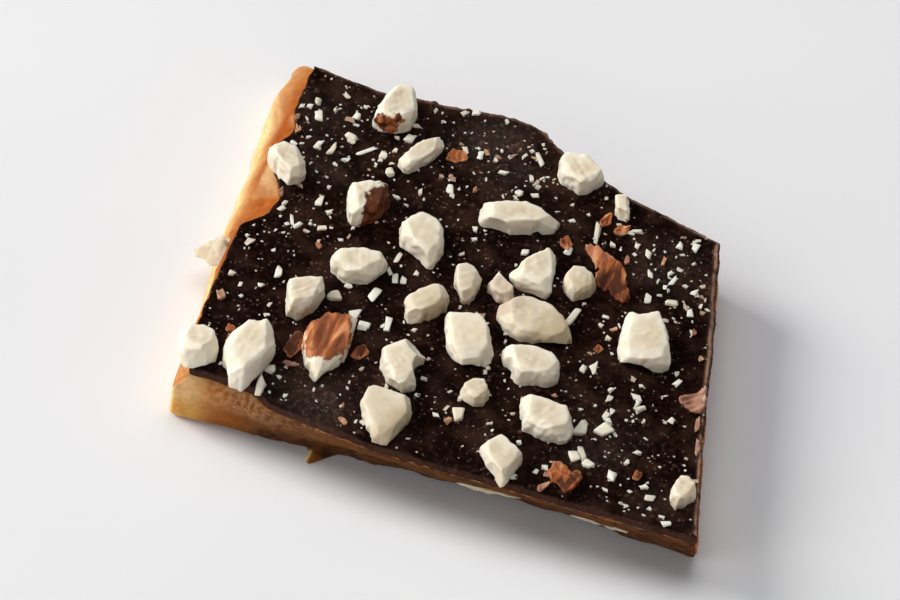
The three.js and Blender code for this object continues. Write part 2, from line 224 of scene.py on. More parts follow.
def node_triangles(node):
    """The corners of a node's triangles, as an array of triangles by corners by axes."""
    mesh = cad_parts[node].data
    places = np.empty(3 * len(mesh.vertices))
    mesh.vertices.foreach_get("co", places)
    corners = np.empty(len(mesh.loops), dtype=int)
    mesh.loops.foreach_get("vertex_index", corners)
    return places.reshape(-1, 3)[corners].reshape(-1, 3, 3) / MM


def slice_radii(triangles, height, angles):
    """How far from MIDDLE the triangles reach at a height, for each angle, and 0 where they don't.
    A triangle that crosses the height has one corner alone on its side. The two edges from that
    corner are cut by straight interpolation. A ray meets the cut where the ends' distances from the
    ray have different signs, at the share at which the distance is 0."""
    above = triangles[:, :, 2] > height
    count = above.sum(axis=1)
    crossing = (count == 1) | (count == 2)
    corners, above, count = triangles[crossing], above[crossing], count[crossing]
    alone = np.where(count == 1, above.argmax(axis=1), above.argmin(axis=1))
    index = np.arange(len(corners))
    first, *others = (corners[index, (alone + step) % 3] for step in range(3))
    ray = np.stack([np.cos(angles), np.sin(angles)])
    across = np.stack([-ray[1], ray[0]])
    reach, aside = [], []
    for other in others:
        share = (height - first[:, 2]) / (other[:, 2] - first[:, 2])
        end = (first + share[:, None] * (other - first))[:, :2] - MIDDLE
        reach.append(end @ ray)
        aside.append(end @ across)
    step = aside[0] - aside[1]
    share = aside[0] / np.where(step == 0, 1, step)
    radius = reach[0] + share * (reach[1] - reach[0])
    meets = (aside[0] * aside[1] <= 0) & (step != 0)
    return np.where(meets, radius, 0).max(axis=0, initial=0)


def face_planes(node):
    """The middle of a convex node's box, and the normals and distances from it of the node's faces.
    Triangles whose normals agree to about a tenth count as one face, with the mean of their normals
    weighted by area, and its plane touches the node's furthest corner along that normal."""
    middle = sum(box_mm(node)) / 2
    triangles = node_triangles(node)
    doubled = np.cross(triangles[:, 1] - triangles[:, 0], triangles[:, 2] - triangles[:, 0])
    _, face = np.unique(np.round(unit(doubled) * 5), axis=0, return_inverse=True)
    normals = np.zeros((face.max() + 1, 3))
    np.add.at(normals, face.ravel(), doubled)
    normals = unit(normals)
    distances = ((triangles.reshape(-1, 3) - middle) @ normals.T).max(axis=0)
    return middle, normals, distances


# ---- Meshes ----


def add_piece(name, points, faces, finish, replaced=(), attributes=None, smooth=True):
    """A mesh object from points in millimetres and lists of faces. It rides on the body and stands for
    the replaced nodes. Each attribute is one number for each point."""
    mesh = bpy.data.meshes.new(name)
    mesh.from_pydata((np.asarray(points) * MM).tolist(), [], faces)
    mesh.polygons.foreach_set("use_smooth", np.full(len(mesh.polygons), smooth))
    for label, values in (attributes or {}).items():
        layer = mesh.attributes.new(label, "FLOAT", "POINT")
        layer.data.foreach_set("value", np.asarray(values, dtype=np.float32))
    mesh.materials.append(finish)
    mesh.update()
    piece = bpy.data.objects.new(name, mesh)
    bpy.context.scene.collection.objects.link(piece)
    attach(piece, BODY)
    if replaced:
        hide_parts(*replaced)
    return piece


def ring_faces(rings, columns, first=0):
    """Quads between each of a stack of rings and the next, whose points are numbered ring by ring."""
    ring, column = np.meshgrid(np.arange(rings - 1), np.arange(columns), indexing="ij")
    after = (column + 1) % columns
    low, high = first + ring * columns, first + (ring + 1) * columns
    quads = np.stack([low + column, low + after, high + after, high + column], axis=-1)
    return quads.reshape(-1, 4).tolist()


def fan_faces(pole, ring_start, columns, upwards):
    """Triangles from a pole to the ring round it, seen from above or from below."""
    column = np.arange(columns)
    here, after = ring_start + column, ring_start + (column + 1) % columns
    edge = (here, after) if upwards else (after, here)
    return np.stack([np.full(columns, pole), *edge], axis=-1).tolist()


def capped_rings(rings, low_pole, high_pole):
    """Points and faces of a stack of rings that is closed by a pole at each end."""
    count, columns = rings.shape[:2]
    faces = ring_faces(count, columns)
    faces += fan_faces(count * columns, 0, columns, False)
    faces += fan_faces(count * columns + 1, (count - 1) * columns, columns, True)
    return np.concatenate([rings.reshape(-1, 3), [low_pole, high_pole]]), faces


def grid_normals(points):
    """Unit normals of rings of points: the step along a ring crossed with the step to the next ring."""
    along = np.roll(points, -1, axis=1) - np.roll(points, 1, axis=1)
    return unit(np.cross(along, np.gradient(points, axis=0)))


def cube_sphere(cells):
    """Unit directions and quads of a cube blown up to a sphere. Each face is a grid of two parameters,
    the tangents of equal steps of angle, so that its cells are about equal. The points that faces
    share are merged."""
    steps = np.tan(np.linspace(-math.pi / 4, math.pi / 4, cells + 1))
    u, v = np.meshgrid(steps, steps, indexing="ij")
    one = np.ones_like(u)
    faces = [(u, v, one), (v, u, -one), (one, u, v), (-one, v, u), (v, one, u), (u, -one, v)]
    points = unit(np.concatenate([np.stack(face, axis=-1).reshape(-1, 3) for face in faces]))
    _, first, merged = np.unique(np.round(points, 5), axis=0, return_index=True, return_inverse=True)
    row, column = np.meshgrid(np.arange(cells), np.arange(cells), indexing="ij")
    corner = (row * (cells + 1) + column).ravel()
    quad = np.stack([corner, corner + cells + 1, corner + cells + 2, corner + 1], axis=-1)
    quads = np.concatenate([quad + number * (cells + 1) ** 2 for number in range(6)])
    return points[first], merged.ravel()[quads]


def node_rays(node, cells):
    """Directions from a node's middle, their quads and the size of the node's box: the points of a
    sphere, stretched as the box is along each axis and brought back to length 1."""
    low, high = box_mm(node)
    sphere, quads = cube_sphere(cells)
    return unit(sphere * (high - low)), quads.tolist(), high - low


# The least that a face counts for a ray.
FAINT_PULL = 1e-4


def faceted_radii(directions, normals, distances, sharpness):
    """How far each direction goes inside a solid of flat faces with rounded edges. One face alone
    would stop it at its distance over the cosine to its normal. The reciprocals of those lengths,
    raised to the sharpness, are summed, so the nearest face decides except close to an edge. A
    reciprocal is never quite 0, so a ray that meets no face has an end, far outside."""
    pull = np.maximum(directions @ normals.T / distances, FAINT_PULL)
    return (pull**sharpness).sum(axis=1) ** (-1 / sharpness)


def scooped(directions, radii, depth, count, rng):
    """The radii of a solid with shell-shaped scoops broken out of it. A scoop is a ball that dips into
    the surface. A ray that would enter the ball stops there, at its reach along the ray less half of
    its chord, found from the ball's radius and its distance from the ray."""
    for _ in range(count):
        middle = rng.integers(0, len(directions))
        ball = rng.uniform(2.0, 5.0)
        dip = depth * rng.uniform(0.3, 1.4)
        centre = directions[middle] * (radii[middle] + ball - dip)
        along = directions @ centre
        chord = ball**2 - (centre @ centre - along**2)
        stop = along - np.sqrt(np.maximum(chord, 0))
        radii = np.where((chord > 0) & (along > 0), np.minimum(radii, stop), radii)
    return radii


# ---- The slab's outline ----


# The height of the slice that spaces the columns, and how much such outlines are smoothed, in columns.
OUTLINE_HEIGHT = 1.0
OUTLINE_BLUR = 3


def outline_angles():
    """The angle of each column round the slab: as many columns to each side, the first of them at its
    corner, and spaced so that their points on the toffee's outline lie equally far apart."""
    triangles = node_triangles("toffee")
    x, y = (CORNERS + RIM_CORNER - MIDDLE).T
    turns = np.unwrap(np.arctan2(y, x))
    turns = np.append(turns, turns[0] + 2 * math.pi)
    angles = []
    for start, stop in zip(turns, turns[1:]):
        fine = np.linspace(start, stop, 4 * SIDE_COLUMNS + 1)
        radii = blur_round(slice_radii(triangles, OUTLINE_HEIGHT, fine)[None, :], OUTLINE_BLUR)[0]
        steps = np.hypot(np.diff(radii * np.cos(fine)), np.diff(radii * np.sin(fine)))
        length = np.append(0, np.cumsum(steps))
        wanted = np.linspace(0, length[-1], SIDE_COLUMNS, endpoint=False)
        angles.append(np.interp(wanted, length, fine))
    return np.concatenate(angles)


def ring_points(radii, heights, angles):
    """Points round MIDDLE, at the given distances and heights, for rows by columns."""
    x = MIDDLE[0] + radii * np.cos(angles)
    y = MIDDLE[1] + radii * np.sin(angles)
    return np.stack([x, y, np.broadcast_to(heights, x.shape)], axis=-1)


ANGLES = outline_angles()

# ---- Toffee ----

# The heights at which the toffee is sliced: closer together towards its top.
SLICE_HEIGHTS = np.concatenate([
    [0.001, 0.45], np.arange(0.9, 3.7, 0.45), np.arange(3.75, TOFFEE_TOP - 0.01, 0.15),
    [TOFFEE_TOP - 0.001],
])
# How much the slices are smoothed, in columns.
SLICE_BLUR = 1.3


def toffee_radii(heights):
    """The toffee's outline, for heights by columns: slices of the toffee with the slivers that fill
    its notches, bridged straight across where the standing sliver comes out, and interpolated
    between the slices."""
    filled = np.concatenate([node_triangles(node) for node in ("toffee", *FLUSH_SLIVERS)])
    standing = node_triangles(STANDING_SLIVER)
    rows = []
    for height in SLICE_HEIGHTS:
        radii = slice_radii(filled, height, ANGLES)
        hole = slice_radii(standing, height, ANGLES)[None, :] > 0
        hole = blur_round(hole * 1.0, OUTLINE_BLUR)[0] > 0.001
        rows.append(np.interp(ANGLES, ANGLES[~hole], radii[~hole]))
    table = blur_round(np.array(rows), SLICE_BLUR)
    level = np.interp(heights, SLICE_HEIGHTS, np.arange(len(SLICE_HEIGHTS)))
    low = np.minimum(level.astype(int), len(SLICE_HEIGHTS) - 2)
    share = (level - low)[:, None]
    return table[low] * (1 - share) + table[low + 1] * share


def toffee_rings():
    """The toffee as rings from the pole of its base, up its sides, to the pole of its top. The corners
    of the profile are rounded by averaging each side ring with its neighbours three times."""
    heights = np.linspace(0, TOFFEE_TOP, TOFFEE_SIDE_ROWS)
    side = toffee_radii(heights)
    base = np.array(BASE_SHARES)[:, None] * side[0]
    top = np.array(TOP_SHARES)[:, None] * side[-1]
    radii = np.concatenate([base, side, top])
    levels = np.concatenate([np.zeros(len(base)), heights, np.full(len(top), TOFFEE_TOP)])
    points = ring_points(radii, levels[:, None], ANGLES)
    for _ in range(3):
        points[4:-4] = (points[3:-5] + 2 * points[4:-4] + points[5:-3]) / 4
    return points


def sliver_clearance(points):
    """0 on a sliver's place and 1 away from it: the distance outside the slivers' boxes, where the
    largest of the three axes counts, goes from 0 to 0.7 mm."""
    nearest = np.full(points.shape[:-1], 9.0)
    for number in range(1, SLIVER_COUNT + 1):
        low, high = box_mm(f"sliver_{number}")
        outside = np.abs(points - (low + high) / 2) - (high - low) / 2
        nearest = np.minimum(nearest, outside.max(axis=-1))
    return smooth_step(-0.2, 0.7, nearest)


def toffee_relief(points, settings):
    """Height of the broken surface over the plain outline: shallow hollows, ripples whose height
    changes along the side, pits where bubbles were cut open, and a left side that juts out a little
    at its foot and more at its back end."""
    flat = points.reshape(-1, 3)
    hollows = settings.hollow_depth / MM * np.tanh(waves(flat, 5.5, 11))
    strength = 0.4 + smooth_step(-0.2, 1.4, waves(flat, 9.0, 12))
    ripples = strength * (waves(flat, 0.9, 13) / 1.6 + waves(flat, 2.1, 14))
    ripples *= settings.ripple_depth / MM
    rng = np.random.default_rng(15)
    sides = points[len(BASE_SHARES) + 2:-len(TOP_SHARES)].reshape(-1, 3)
    places = sides[rng.integers(0, len(sides), settings.pits)]
    radii = 0.14 + 0.34 * rng.random(settings.pits) ** 3
    pits = bumps(flat, places, radii, radii * rng.uniform(0.5, 1.1, settings.pits))
    x, y, height = (flat - (*RIM_CORNER, 0)).T
    left = smooth_step(4.0, 1.0, x)
    foot = 0.35 * smooth_step(4.5, 2.5, height) * smooth_step(14.0, 24.0, y)
    corner = 1.1 * smooth_step(37.0, 42.5, y) * np.exp(-(((height - 4.0) / 1.5) ** 2))
    return (hollows + ripples - pits + left * (foot + corner)).reshape(points.shape[:-1])


def toffee_marks(points, normals):
    """Where the toffee looks different: its bevel under the chocolate; the front, darkened with painted
    shade more and more to the right and towards its foot, but less on the splinter that stands out of
    it; the clear amber along the top of the left side; a painted glow that makes the foot of that side
    and its front corner paler; and the edges that light comes through."""
    x, y, height = (points - (*RIM_CORNER, 0)).reshape(-1, 3).T
    flat = normals.reshape(-1, 3)
    bevel = smooth_step(0.2, 0.6, flat[:, 2]) * smooth_step(3.0, 4.0, height) * smooth_step(9.0, 3.0, y)
    front = smooth_step(0.1, 0.6, -flat[:, 1])
    left = smooth_step(0.2, 0.7, -flat[:, 0])
    # Painted shade over the front: darker to the right and at the foot, lighter on the splinter.
    browned = front * (0.88 * smooth_step(0.0, 10.0, x) + 0.12 * smooth_step(14.0, 28.0, x))
    foot = smooth_step(3.6, 1.2, height) * smooth_step(5.0, 11.0, x)
    splinter = smooth_step(0.2, 0.9, 2.4 - 0.57 * height - y) * smooth_step(3.4, 2.4, np.abs(x - 14.4))
    browned = np.minimum(browned + 0.25 * front * foot, 1) * (1 - 0.5 * splinter)
    bevel = np.maximum(bevel, 0.75 * front * smooth_step(2.8, 4.6, height) * smooth_step(18.0, 5.0, x))
    clear = smooth_step(1.8, 4.8, height) * smooth_step(6.0, 18.0, y) * smooth_step(50.0, 38.0, y)
    lit = left * smooth_step(4.7, 1.4, height - 1.4 * smooth_step(33.0, 41.0, y))
    lit = lit + 1.3 * front * smooth_step(3.4, 0.8, x) * smooth_step(2.0, 4.2, height)
    # Painted glow: paler on the foot of the left side and at the front corner.
    pale = left * smooth_step(4.2, 1.6, height) + front * smooth_step(4.5, 1.0, x)
    pale = np.minimum(pale, 1.2)
    return {"bevel": bevel, "browned": browned, "pale": pale, "clear": left * clear, "lit": lit}


def build_toffee(settings):
    """The toffee's mesh: its rings, moved along their normals by the relief. The flat of the base and
    the covered middle of the top stay plain."""
    rings = toffee_rings()
    normals = grid_normals(rings)
    across = np.hypot(*np.moveaxis(rings[..., :2] - MIDDLE, -1, 0))
    covered = across / across[len(BASE_SHARES) + TOFFEE_SIDE_ROWS - 1]
    lifted = smooth_step(0.0, 0.5, rings[..., 2])
    bare = np.where(rings[..., 2] > TOFFEE_TOP - 0.01, smooth_step(0.84, 0.96, covered), 1.0)
    relief = toffee_relief(rings, settings) * sliver_clearance(rings) * lifted * bare
    rings = rings + normals * relief[..., None]
    rings[..., 2] = np.clip(rings[..., 2], 0, None)
    points, faces = capped_rings(rings, (*MIDDLE, 0.0), (*MIDDLE, TOFFEE_TOP))
    marks = toffee_marks(rings, normals)
    return points, faces, {name: np.append(values, [0, 0]) for name, values in marks.items()}


# ---- Almond footprints ----

# A face counts as upright if the level part of its normal is longer than this, and a footprint is
# measured this far above the chocolate.
UPRIGHT_SHARE = 0.3
FOOT_HEIGHT = 0.2


def almond_name(number):
    """The frame's name of an almond."""
    return f"almond_{number:02d}"


def footprint_distance(places):
    """How far places on the chocolate lie outside the nearest almond, and below 0 inside it: the
    furthest of an almond's face planes, measured level with its foot, and the nearest almond."""
    nearest = np.full(len(places), 99.0)
    for number in range(1, ALMOND_COUNT + 1):
        middle, normals, distances = face_planes(almond_name(number))
        level = np.hypot(normals[:, 0], normals[:, 1])
        upright = level > UPRIGHT_SHARE
        foot = distances - normals[:, 2] * (CHOCOLATE_TOP + FOOT_HEIGHT - middle[2])
        outside = (places - middle[:2]) @ normals[upright, :2].T - foot[upright]
        nearest = np.minimum(nearest, (outside / level[upright]).max(axis=1))
    return nearest


# ---- Chocolate ----

# The edge in section: how far in and down its rounded top corner reaches, and in how many rings, how
# many rings the whole edge has, how far inside its outline it stays and how far its foot tucks in.
CAP_INSET = 0.42
CAP_DROP = 0.3
CAP_ROWS = 8
EDGE_ROWS = 15
EDGE_MARGIN = 0.02
FOOT_TUCK = 0.1
# How far up the chocolate its outline is read, and how much it is smoothed, in columns.
WIDEST_HEIGHT = 0.3
EDGE_BLUR = 1.2
# How far out the rings under the chocolate lie, as shares of its foot.
CHOCOLATE_UNDER_SHARES = (0.985, 0.93, 0.6, 0.05)
# The rim against an almond falls off over this distance.
RIM_REACH = 0.32
# Where crumbs may lie, how many places are tried for each, and how likely a plain place is taken.
CRUMB_AREA = ((-1, -1), (49, 44))
CRUMB_TRIES = 20
CRUMB_CHANCE = 0.16
# Patches where crushed almond under the surface breaks it up, and which carry a painted sheen: place,
# radius and strength.
SCRAPES = (
    ((17.8, 40.2), 3.6, 1.0), ((20.5, 37.8), 2.2, 0.7), ((13.2, 1.4), 2.8, 1.0), ((9.6, 3.0), 1.8, 0.6),
    ((17.5, 4.6), 2.2, 0.4), ((37.5, 31.8), 3.2, 0.5), ((2.6, 37.0), 3.2, 0.4), ((38.5, 7.0), 3.0, 0.5),
    ((4.2, 30.6), 2.6, 0.35), ((45.0, 3.0), 2.0, 0.35),
)


def scraped(places):
    """How broken up the chocolate is at each place, from 0 to 1: the highest of the patches, each
    falling off with the square of the distance."""
    amount = np.zeros(len(places))
    for place, radius, strength in SCRAPES:
        share = ((places - RIM_CORNER - place) ** 2).sum(axis=1) / radius**2
        amount = np.maximum(amount, strength * np.exp(-share))
    return amount


def crumb_bumps(settings):
    """Places, radii and heights of the almond crumbs under the chocolate. A third of them crowd in the
    scraped patches."""
    rng = np.random.default_rng(31)
    anywhere = rng.uniform(*CRUMB_AREA, (CRUMB_TRIES * settings.crumbs, 2)) + RIM_CORNER
    wanted = CRUMB_CHANCE + scraped(anywhere)
    places = anywhere[rng.random(len(anywhere)) < wanted][:settings.crumbs]
    radii = 0.25 + 0.5 * rng.random(len(places)) ** 2
    return places, radii, radii * rng.uniform(0.25, 0.6, len(places))


def chocolate_relief(places, settings):
    """Height of the chocolate's surface over its level: slow waves, finer ones that grow in the scraped
    patches, crumbs, and a rim against each almond that falls off exponentially."""
    slow = waves(places, 6.5, 21) + 0.5 * waves(places, 2.6, 22)
    rough = scraped(places)
    broken = 0.05 * rough * (waves(places, 0.8, 24) + waves(places, 0.5, 26))
    fine = 0.012 * waves(places, 1.1, 23) + broken
    crumbs = bumps(places, *crumb_bumps(settings))
    outside = footprint_distance(places)
    height = settings.rim_height / MM * (0.45 + 0.55 * smooth_step(-0.6, 1.2, waves(places, 4.0, 25)))
    rim = height * np.exp(-np.maximum(outside, 0) / RIM_REACH)
    return settings.wave_height / MM * slow + fine + np.maximum(crumbs, rim)


def edge_profile():
    """The edge's insets and heights from the flat of the top down to the underside: a quarter of an
    ellipse over the top corner, then a side that tucks in at its foot."""
    turn = np.linspace(0, math.pi / 2, CAP_ROWS)
    inset = CAP_INSET * (1 - np.sin(turn)) + EDGE_MARGIN
    height = CHOCOLATE_TOP - CAP_DROP * (1 - np.cos(turn))
    down = np.linspace(0, 1, EDGE_ROWS - CAP_ROWS + 1)[1:]
    side_height = height[-1] + (CHOCOLATE_LOW[2] - height[-1]) * down
    side_inset = EDGE_MARGIN + FOOT_TUCK * smooth_step(0.55, 1.0, down)
    return np.append(inset, side_inset), np.append(height, side_height)


def edge_raggedness(points, settings):
    """How far the broken edge stands back from its plain line: uneven teeth of two sizes, which only
    ever cut in, and a fine grain."""
    teeth = smooth_step(0.2, 1.6, waves(points * (1, 1, 0.5), 1.6, 41))
    nibbles = smooth_step(0.6, 1.8, waves(points, 0.7, 42))
    grain = 0.2 * waves(points, 0.45, 43)
    return settings.edge_bite / MM * (1.5 * teeth + nibbles + grain)


def chocolate_edge(settings):
    """Rings from the flat of the top down the broken edge, then in under the chocolate."""
    triangles = node_triangles("chocolate")
    widest = slice_radii(triangles, CHOCOLATE_LOW[2] + WIDEST_HEIGHT, ANGLES)
    widest = blur_round(widest[None, :], EDGE_BLUR)[0]
    insets, heights = edge_profile()
    radii = widest - insets[:, None]
    points = ring_points(radii, heights[:, None], ANGLES)
    bite = edge_raggedness(points, settings) * smooth_step(0, 6, np.arange(EDGE_ROWS))[:, None]
    points = ring_points(radii - bite, heights[:, None], ANGLES)
    under = np.array(CHOCOLATE_UNDER_SHARES)[:, None] * radii[-1]
    return np.concatenate([points, ring_points(under, CHOCOLATE_LOW[2], ANGLES)])


def square_columns(cells):
    """For a square grid of points, each one's share of the way out, and its column round the slab: the
    larger of the two coordinates' sizes is the share, and the place along that smaller square's
    sides, from its front right corner on, is the column."""
    steps = np.linspace(-1, 1, cells + 1)
    u, v = np.meshgrid(steps, steps, indexing="ij")
    share = np.maximum(np.abs(u), np.abs(v))
    scale = np.where(share == 0, 1, share)
    right, back, left = (u == share), (v == share), (u == -share)
    side = np.where(right & (v < share), (v / scale + 1) / 2, 3 + (u / scale + 1) / 2)
    side = np.where(left & (v > -share), 2 + (1 - v / scale) / 2, side)
    side = np.where(back & (u > -share), 1 + (1 - u / scale) / 2, side)
    return share, np.mod(side, 4) * SIDE_COLUMNS


def cap_boundary(cells):
    """The numbers of the square grid's outer points, in the order of the columns."""
    line = np.arange(cells)
    grid = np.arange((cells + 1) ** 2).reshape(cells + 1, cells + 1)
    return np.concatenate([
        grid[cells, line], grid[cells - line, cells], grid[0, cells - line], grid[line, 0]
    ])


def build_chocolate(settings):
    """The chocolate's mesh: a square grid stretched over the flat of the top, whose outer points are
    the first ring of the edge, then the edge's rings, and a pole under the middle. Its attributes
    are the broken edge, a painted highlight along the rim of the right and back sides, and how rough it
    is."""
    rings = chocolate_edge(settings)
    share, column = square_columns(SIDE_COLUMNS)
    start = column.astype(int) % COLUMNS
    between = (column - start)[..., None]
    outer = rings[0][:, :2] - MIDDLE
    reach = outer[start] * (1 - between) + outer[(start + 1) % COLUMNS] * between
    flat = (MIDDLE + share[..., None] * reach).reshape(-1, 2)
    cap = np.column_stack([flat, np.full(len(flat), CHOCOLATE_TOP)])
    boundary = cap_boundary(SIDE_COLUMNS)
    points = np.concatenate([cap, rings[1:].reshape(-1, 3), [[*MIDDLE, CHOCOLATE_LOW[2]]]])
    on_top = smooth_step(CHOCOLATE_TOP - 0.6, CHOCOLATE_TOP - 0.05, points[:, 2])
    points[:, 2] += on_top * chocolate_relief(points[:, :2], settings)
    grid = np.arange(len(cap)).reshape(SIDE_COLUMNS + 1, SIDE_COLUMNS + 1)
    quads = np.stack([grid[:-1, :-1], grid[1:, :-1], grid[1:, 1:], grid[:-1, 1:]], axis=-1)
    faces = quads.reshape(-1, 4).tolist()
    after = np.roll(np.arange(COLUMNS), -1)
    first = len(cap) + np.arange(COLUMNS)
    faces += np.stack([first, first[after], boundary[after], boundary], axis=-1).tolist()
    lower = np.array(ring_faces(len(rings) - 1, COLUMNS, len(cap)))
    faces += lower[:, ::-1].tolist()
    faces += fan_faces(len(points) - 1, len(points) - 1 - COLUMNS, COLUMNS, False)
    edge = 1 - smooth_step(CHOCOLATE_TOP - 0.55, CHOCOLATE_TOP - 0.1, points[:, 2])
    edge[:len(cap)] = 0
    ring, place = np.divmod(np.arange(len(points)) - len(cap), COLUMNS)
    # The rim mark: a painted highlight on the top corner of the right and back sides, weaker towards the
    # back left.
    chipped_columns = 2 * SIDE_COLUMNS
    rim = np.exp(-((ring / 2.6) ** 2)) * (place < chipped_columns)
    rim[:len(cap)] = (smooth_step(0.99, 1.0, share) * (column < chipped_columns)).ravel()
    from_corner = points[:, 0] - RIM_CORNER[0]
    rim *= 1 - 0.5 * smooth_step(40.0, 36.0, from_corner) * (points[:, 1] > MIDDLE[1])
    return points, faces, {"edge": edge, "rim": rim, "rough": scraped(points[:, :2])}


# ---- Almonds ----

# Where almonds keep some of their skin: the middle of an egg in which they do, from the front left
# corner of the rim and from the chocolate up, its three radii, how dark and how strong the skin is.
SKINS = {
    1: ((8.0, 37.2, 1.2), (1.35, 1.3, 1.1), 0.95, 1.0),
    4: ((11.2, 26.2, 1.2), (1.8, 2.7, 9.0), 1.3, 1.0),
    5: ((13.6, 27.4, 1.8), (1.1, 1.0, 1.2), 0.3, 0.45),
    10: ((11.6, 8.8, 1.7), (2.1, 3.4, 9.0), 0.74, 1.0),
    19: ((24.6, 20.0, 1.4), (2.3, 2.0, 2.3), 0.15, 0.3),
    23: ((31.9, 34.4, 0.6), (1.4, 1.2, 1.4), 0.7, 1.0),
    29: ((46.9, 1.9, 0.5), (1.4, 1.4, 1.4), 0.1, 0.35),
    31: ((24.2, 21.6, 0.8), (1.6, 1.4, 1.6), 0.1, 0.35),
}
# Almonds that are no more than flakes with their skin on: their outlines, from the front left corner
# of the rim, how far their ends bend up and how dark the skin is.
FLAKES = {
    22: ((
        (29.7, 30.5), (29.9, 31.2), (30.6, 31.2), (31.4, 30.8), (32.3, 30.5), (33.3, 30.2),
        (34.0, 29.2), (34.4, 28.0), (35.1, 26.9), (35.4, 25.9), (34.8, 25.3), (34.1, 25.5),
        (33.4, 26.2), (32.7, 26.0), (32.0, 26.5), (31.6, 27.4), (31.1, 28.9), (30.3, 29.8),
    ), 0.25, 0.93),
    28: ((
        (35.2, 3.0), (35.0, 1.9), (35.7, 1.1), (36.4, 0.9), (37.2, 0.1), (37.7, 0.6), (38.1, 1.7),
        (38.1, 2.9), (37.6, 3.4), (37.1, 2.8), (36.4, 3.3), (35.8, 3.5),
    ), 0.3, 0.98),
    30: ((
        (43.2, 15.9), (43.9, 15.2), (44.8, 14.8), (45.6, 15.0), (45.8, 16.2), (45.3, 17.9),
        (44.9, 17.8), (44.4, 17.0), (43.8, 16.6),
    ), 0.25, 0.2),
}
# How sharp the edges are: between an almond's faces, at its shoulder and between a sliver's faces.
ALMOND_SHARPNESS = 60
SHOULDER_SHARPNESS = 18
SLIVER_SHARPNESS = 30
# What makes up for the rounding: how many times as large an almond and a sliver are made, and how many
# millimetres an almond's top and a sliver's faces are moved out.
ROUNDING_MARGIN = 1.045
SLIVER_ROUNDING_MARGIN = 1.05
SHOULDER_MARGIN = 0.12
SLIVER_MARGIN = 0.06
# Round notches broken out of the almonds' outlines: x, y and radius, from the front left corner of the
# rim.
NOTCHES = {
    3: ((0.0, 27.5, 0.6),),
    6: ((24.3, 33.4, 0.7), (21.4, 33.0, 0.6)),
    9: ((6.2, 14.6, 0.5),),
    11: ((3.3, 6.3, 0.8),),
    13: ((21.8, 8.6, 2.0), (16.2, 8.1, 0.4)),
    14: ((19.8, -1.3, 0.5), (22.1, 4.6, 0.7)),
    18: ((24.5, 26.9, 1.3),),
    19: ((31.3, 20.7, 0.7), (24.6, 21.2, 0.6), (24.7, 17.4, 0.5)),
    20: ((27.5, 12.2, 0.9),),
    21: ((28.8, 27.1, 0.5),),
    24: ((37.0, 25.1, 0.8), (39.8, 25.0, 0.7)),
    25: ((30.3, 6.7, 0.9), (35.9, 9.4, 0.5)),
    26: ((24.6, 10.0, 0.6),),
    31: ((24.3, 23.9, 0.8),),
}
# Facets broken across some almonds: the direction that each faces in plan and how far it looks up, in
# degrees, and how far out it lies, as a share of the almond's reach that way.
FACETS = {
    1: ((170, 40, 0.86),), 3: ((0, 40, 0.84),), 5: ((150, 45, 0.88),),
    6: ((120, 42, 0.86), (60, 40, 0.90)), 8: ((-30, 42, 0.80),),
    11: ((172, 38, 0.74), (-10, 52, 0.96), (140, 10, 0.86)), 12: ((175, 38, 0.84),),
    16: ((20, 52, 0.90),), 18: ((165, 40, 0.80),), 24: ((190, 50, 0.90), (10, 50, 0.92)),
    25: ((-20, 48, 0.88),), 27: ((190, 45, 0.86),),
}
# How tan an almond is, as a tone and as painted shade, most of all on its right and front sides. The
# others take a little at random.
TANS_AND_SHADES = {
    1: 0.05, 3: 0.3, 4: 0.1, 6: 0.1, 7: 0.0, 8: 0.1, 9: 0.4, 11: 0.0, 12: 0.1, 14: 1.2, 15: 1.2, 16: 0.3,
    17: 0.8, 19: 1.3, 20: 0.1, 21: 1.3, 24: 0.1, 26: 0.9, 27: 0.6, 29: 0.6,
}


def almond_marks(count, skin=0.0, heart=0.0, tan=0.0, tone=0.0):
    """The almonds' attributes, each one number for all points or one for each: how much skin shows,
    how much ivory heart, how tan the flesh is, partly as painted shade, and how dark the skin."""
    values = {"skin": skin, "heart": heart, "tan": tan, "tone": tone}
    return {name: np.broadcast_to(value, count) for name, value in values.items()}


def notched(directions, radii, notches):
    """The radii of a solid with upright round notches broken out of it. Seen from above, a ray stops
    where it enters a notch's circle, at the lower root of the circle's equation along the ray."""
    flat = directions[:, :2]
    square = np.maximum((flat**2).sum(axis=1), 1e-6)
    for x, y, size in notches:
        along = flat @ (x, y)
        root = along**2 - square * (x**2 + y**2 - size**2)
        stop = (along - np.sqrt(np.maximum(root, 0))) / square
        radii = np.where((root > 0) & (along > 0), np.minimum(radii, stop), radii)
    return radii


def chopped_notches(number, middle, outline_radius, rng):
    """The notches of an almond, counted from its middle: its own and a few small random ones that just
    cut into its outline."""
    own = np.array(NOTCHES.get(number, ())).reshape(-1, 3)
    own[:, :2] += RIM_CORNER - middle[:2]
    turns = rng.uniform(0, 2 * math.pi, 5)
    ways = np.column_stack([np.cos(turns), np.sin(turns), np.zeros(5)])
    sizes = rng.uniform(0.25, 0.6, 5)
    places = ways[:, :2] * (outline_radius(ways) + sizes * rng.uniform(0.72, 0.95, 5))[:, None]
    return np.vstack([own, np.column_stack([places, sizes])])


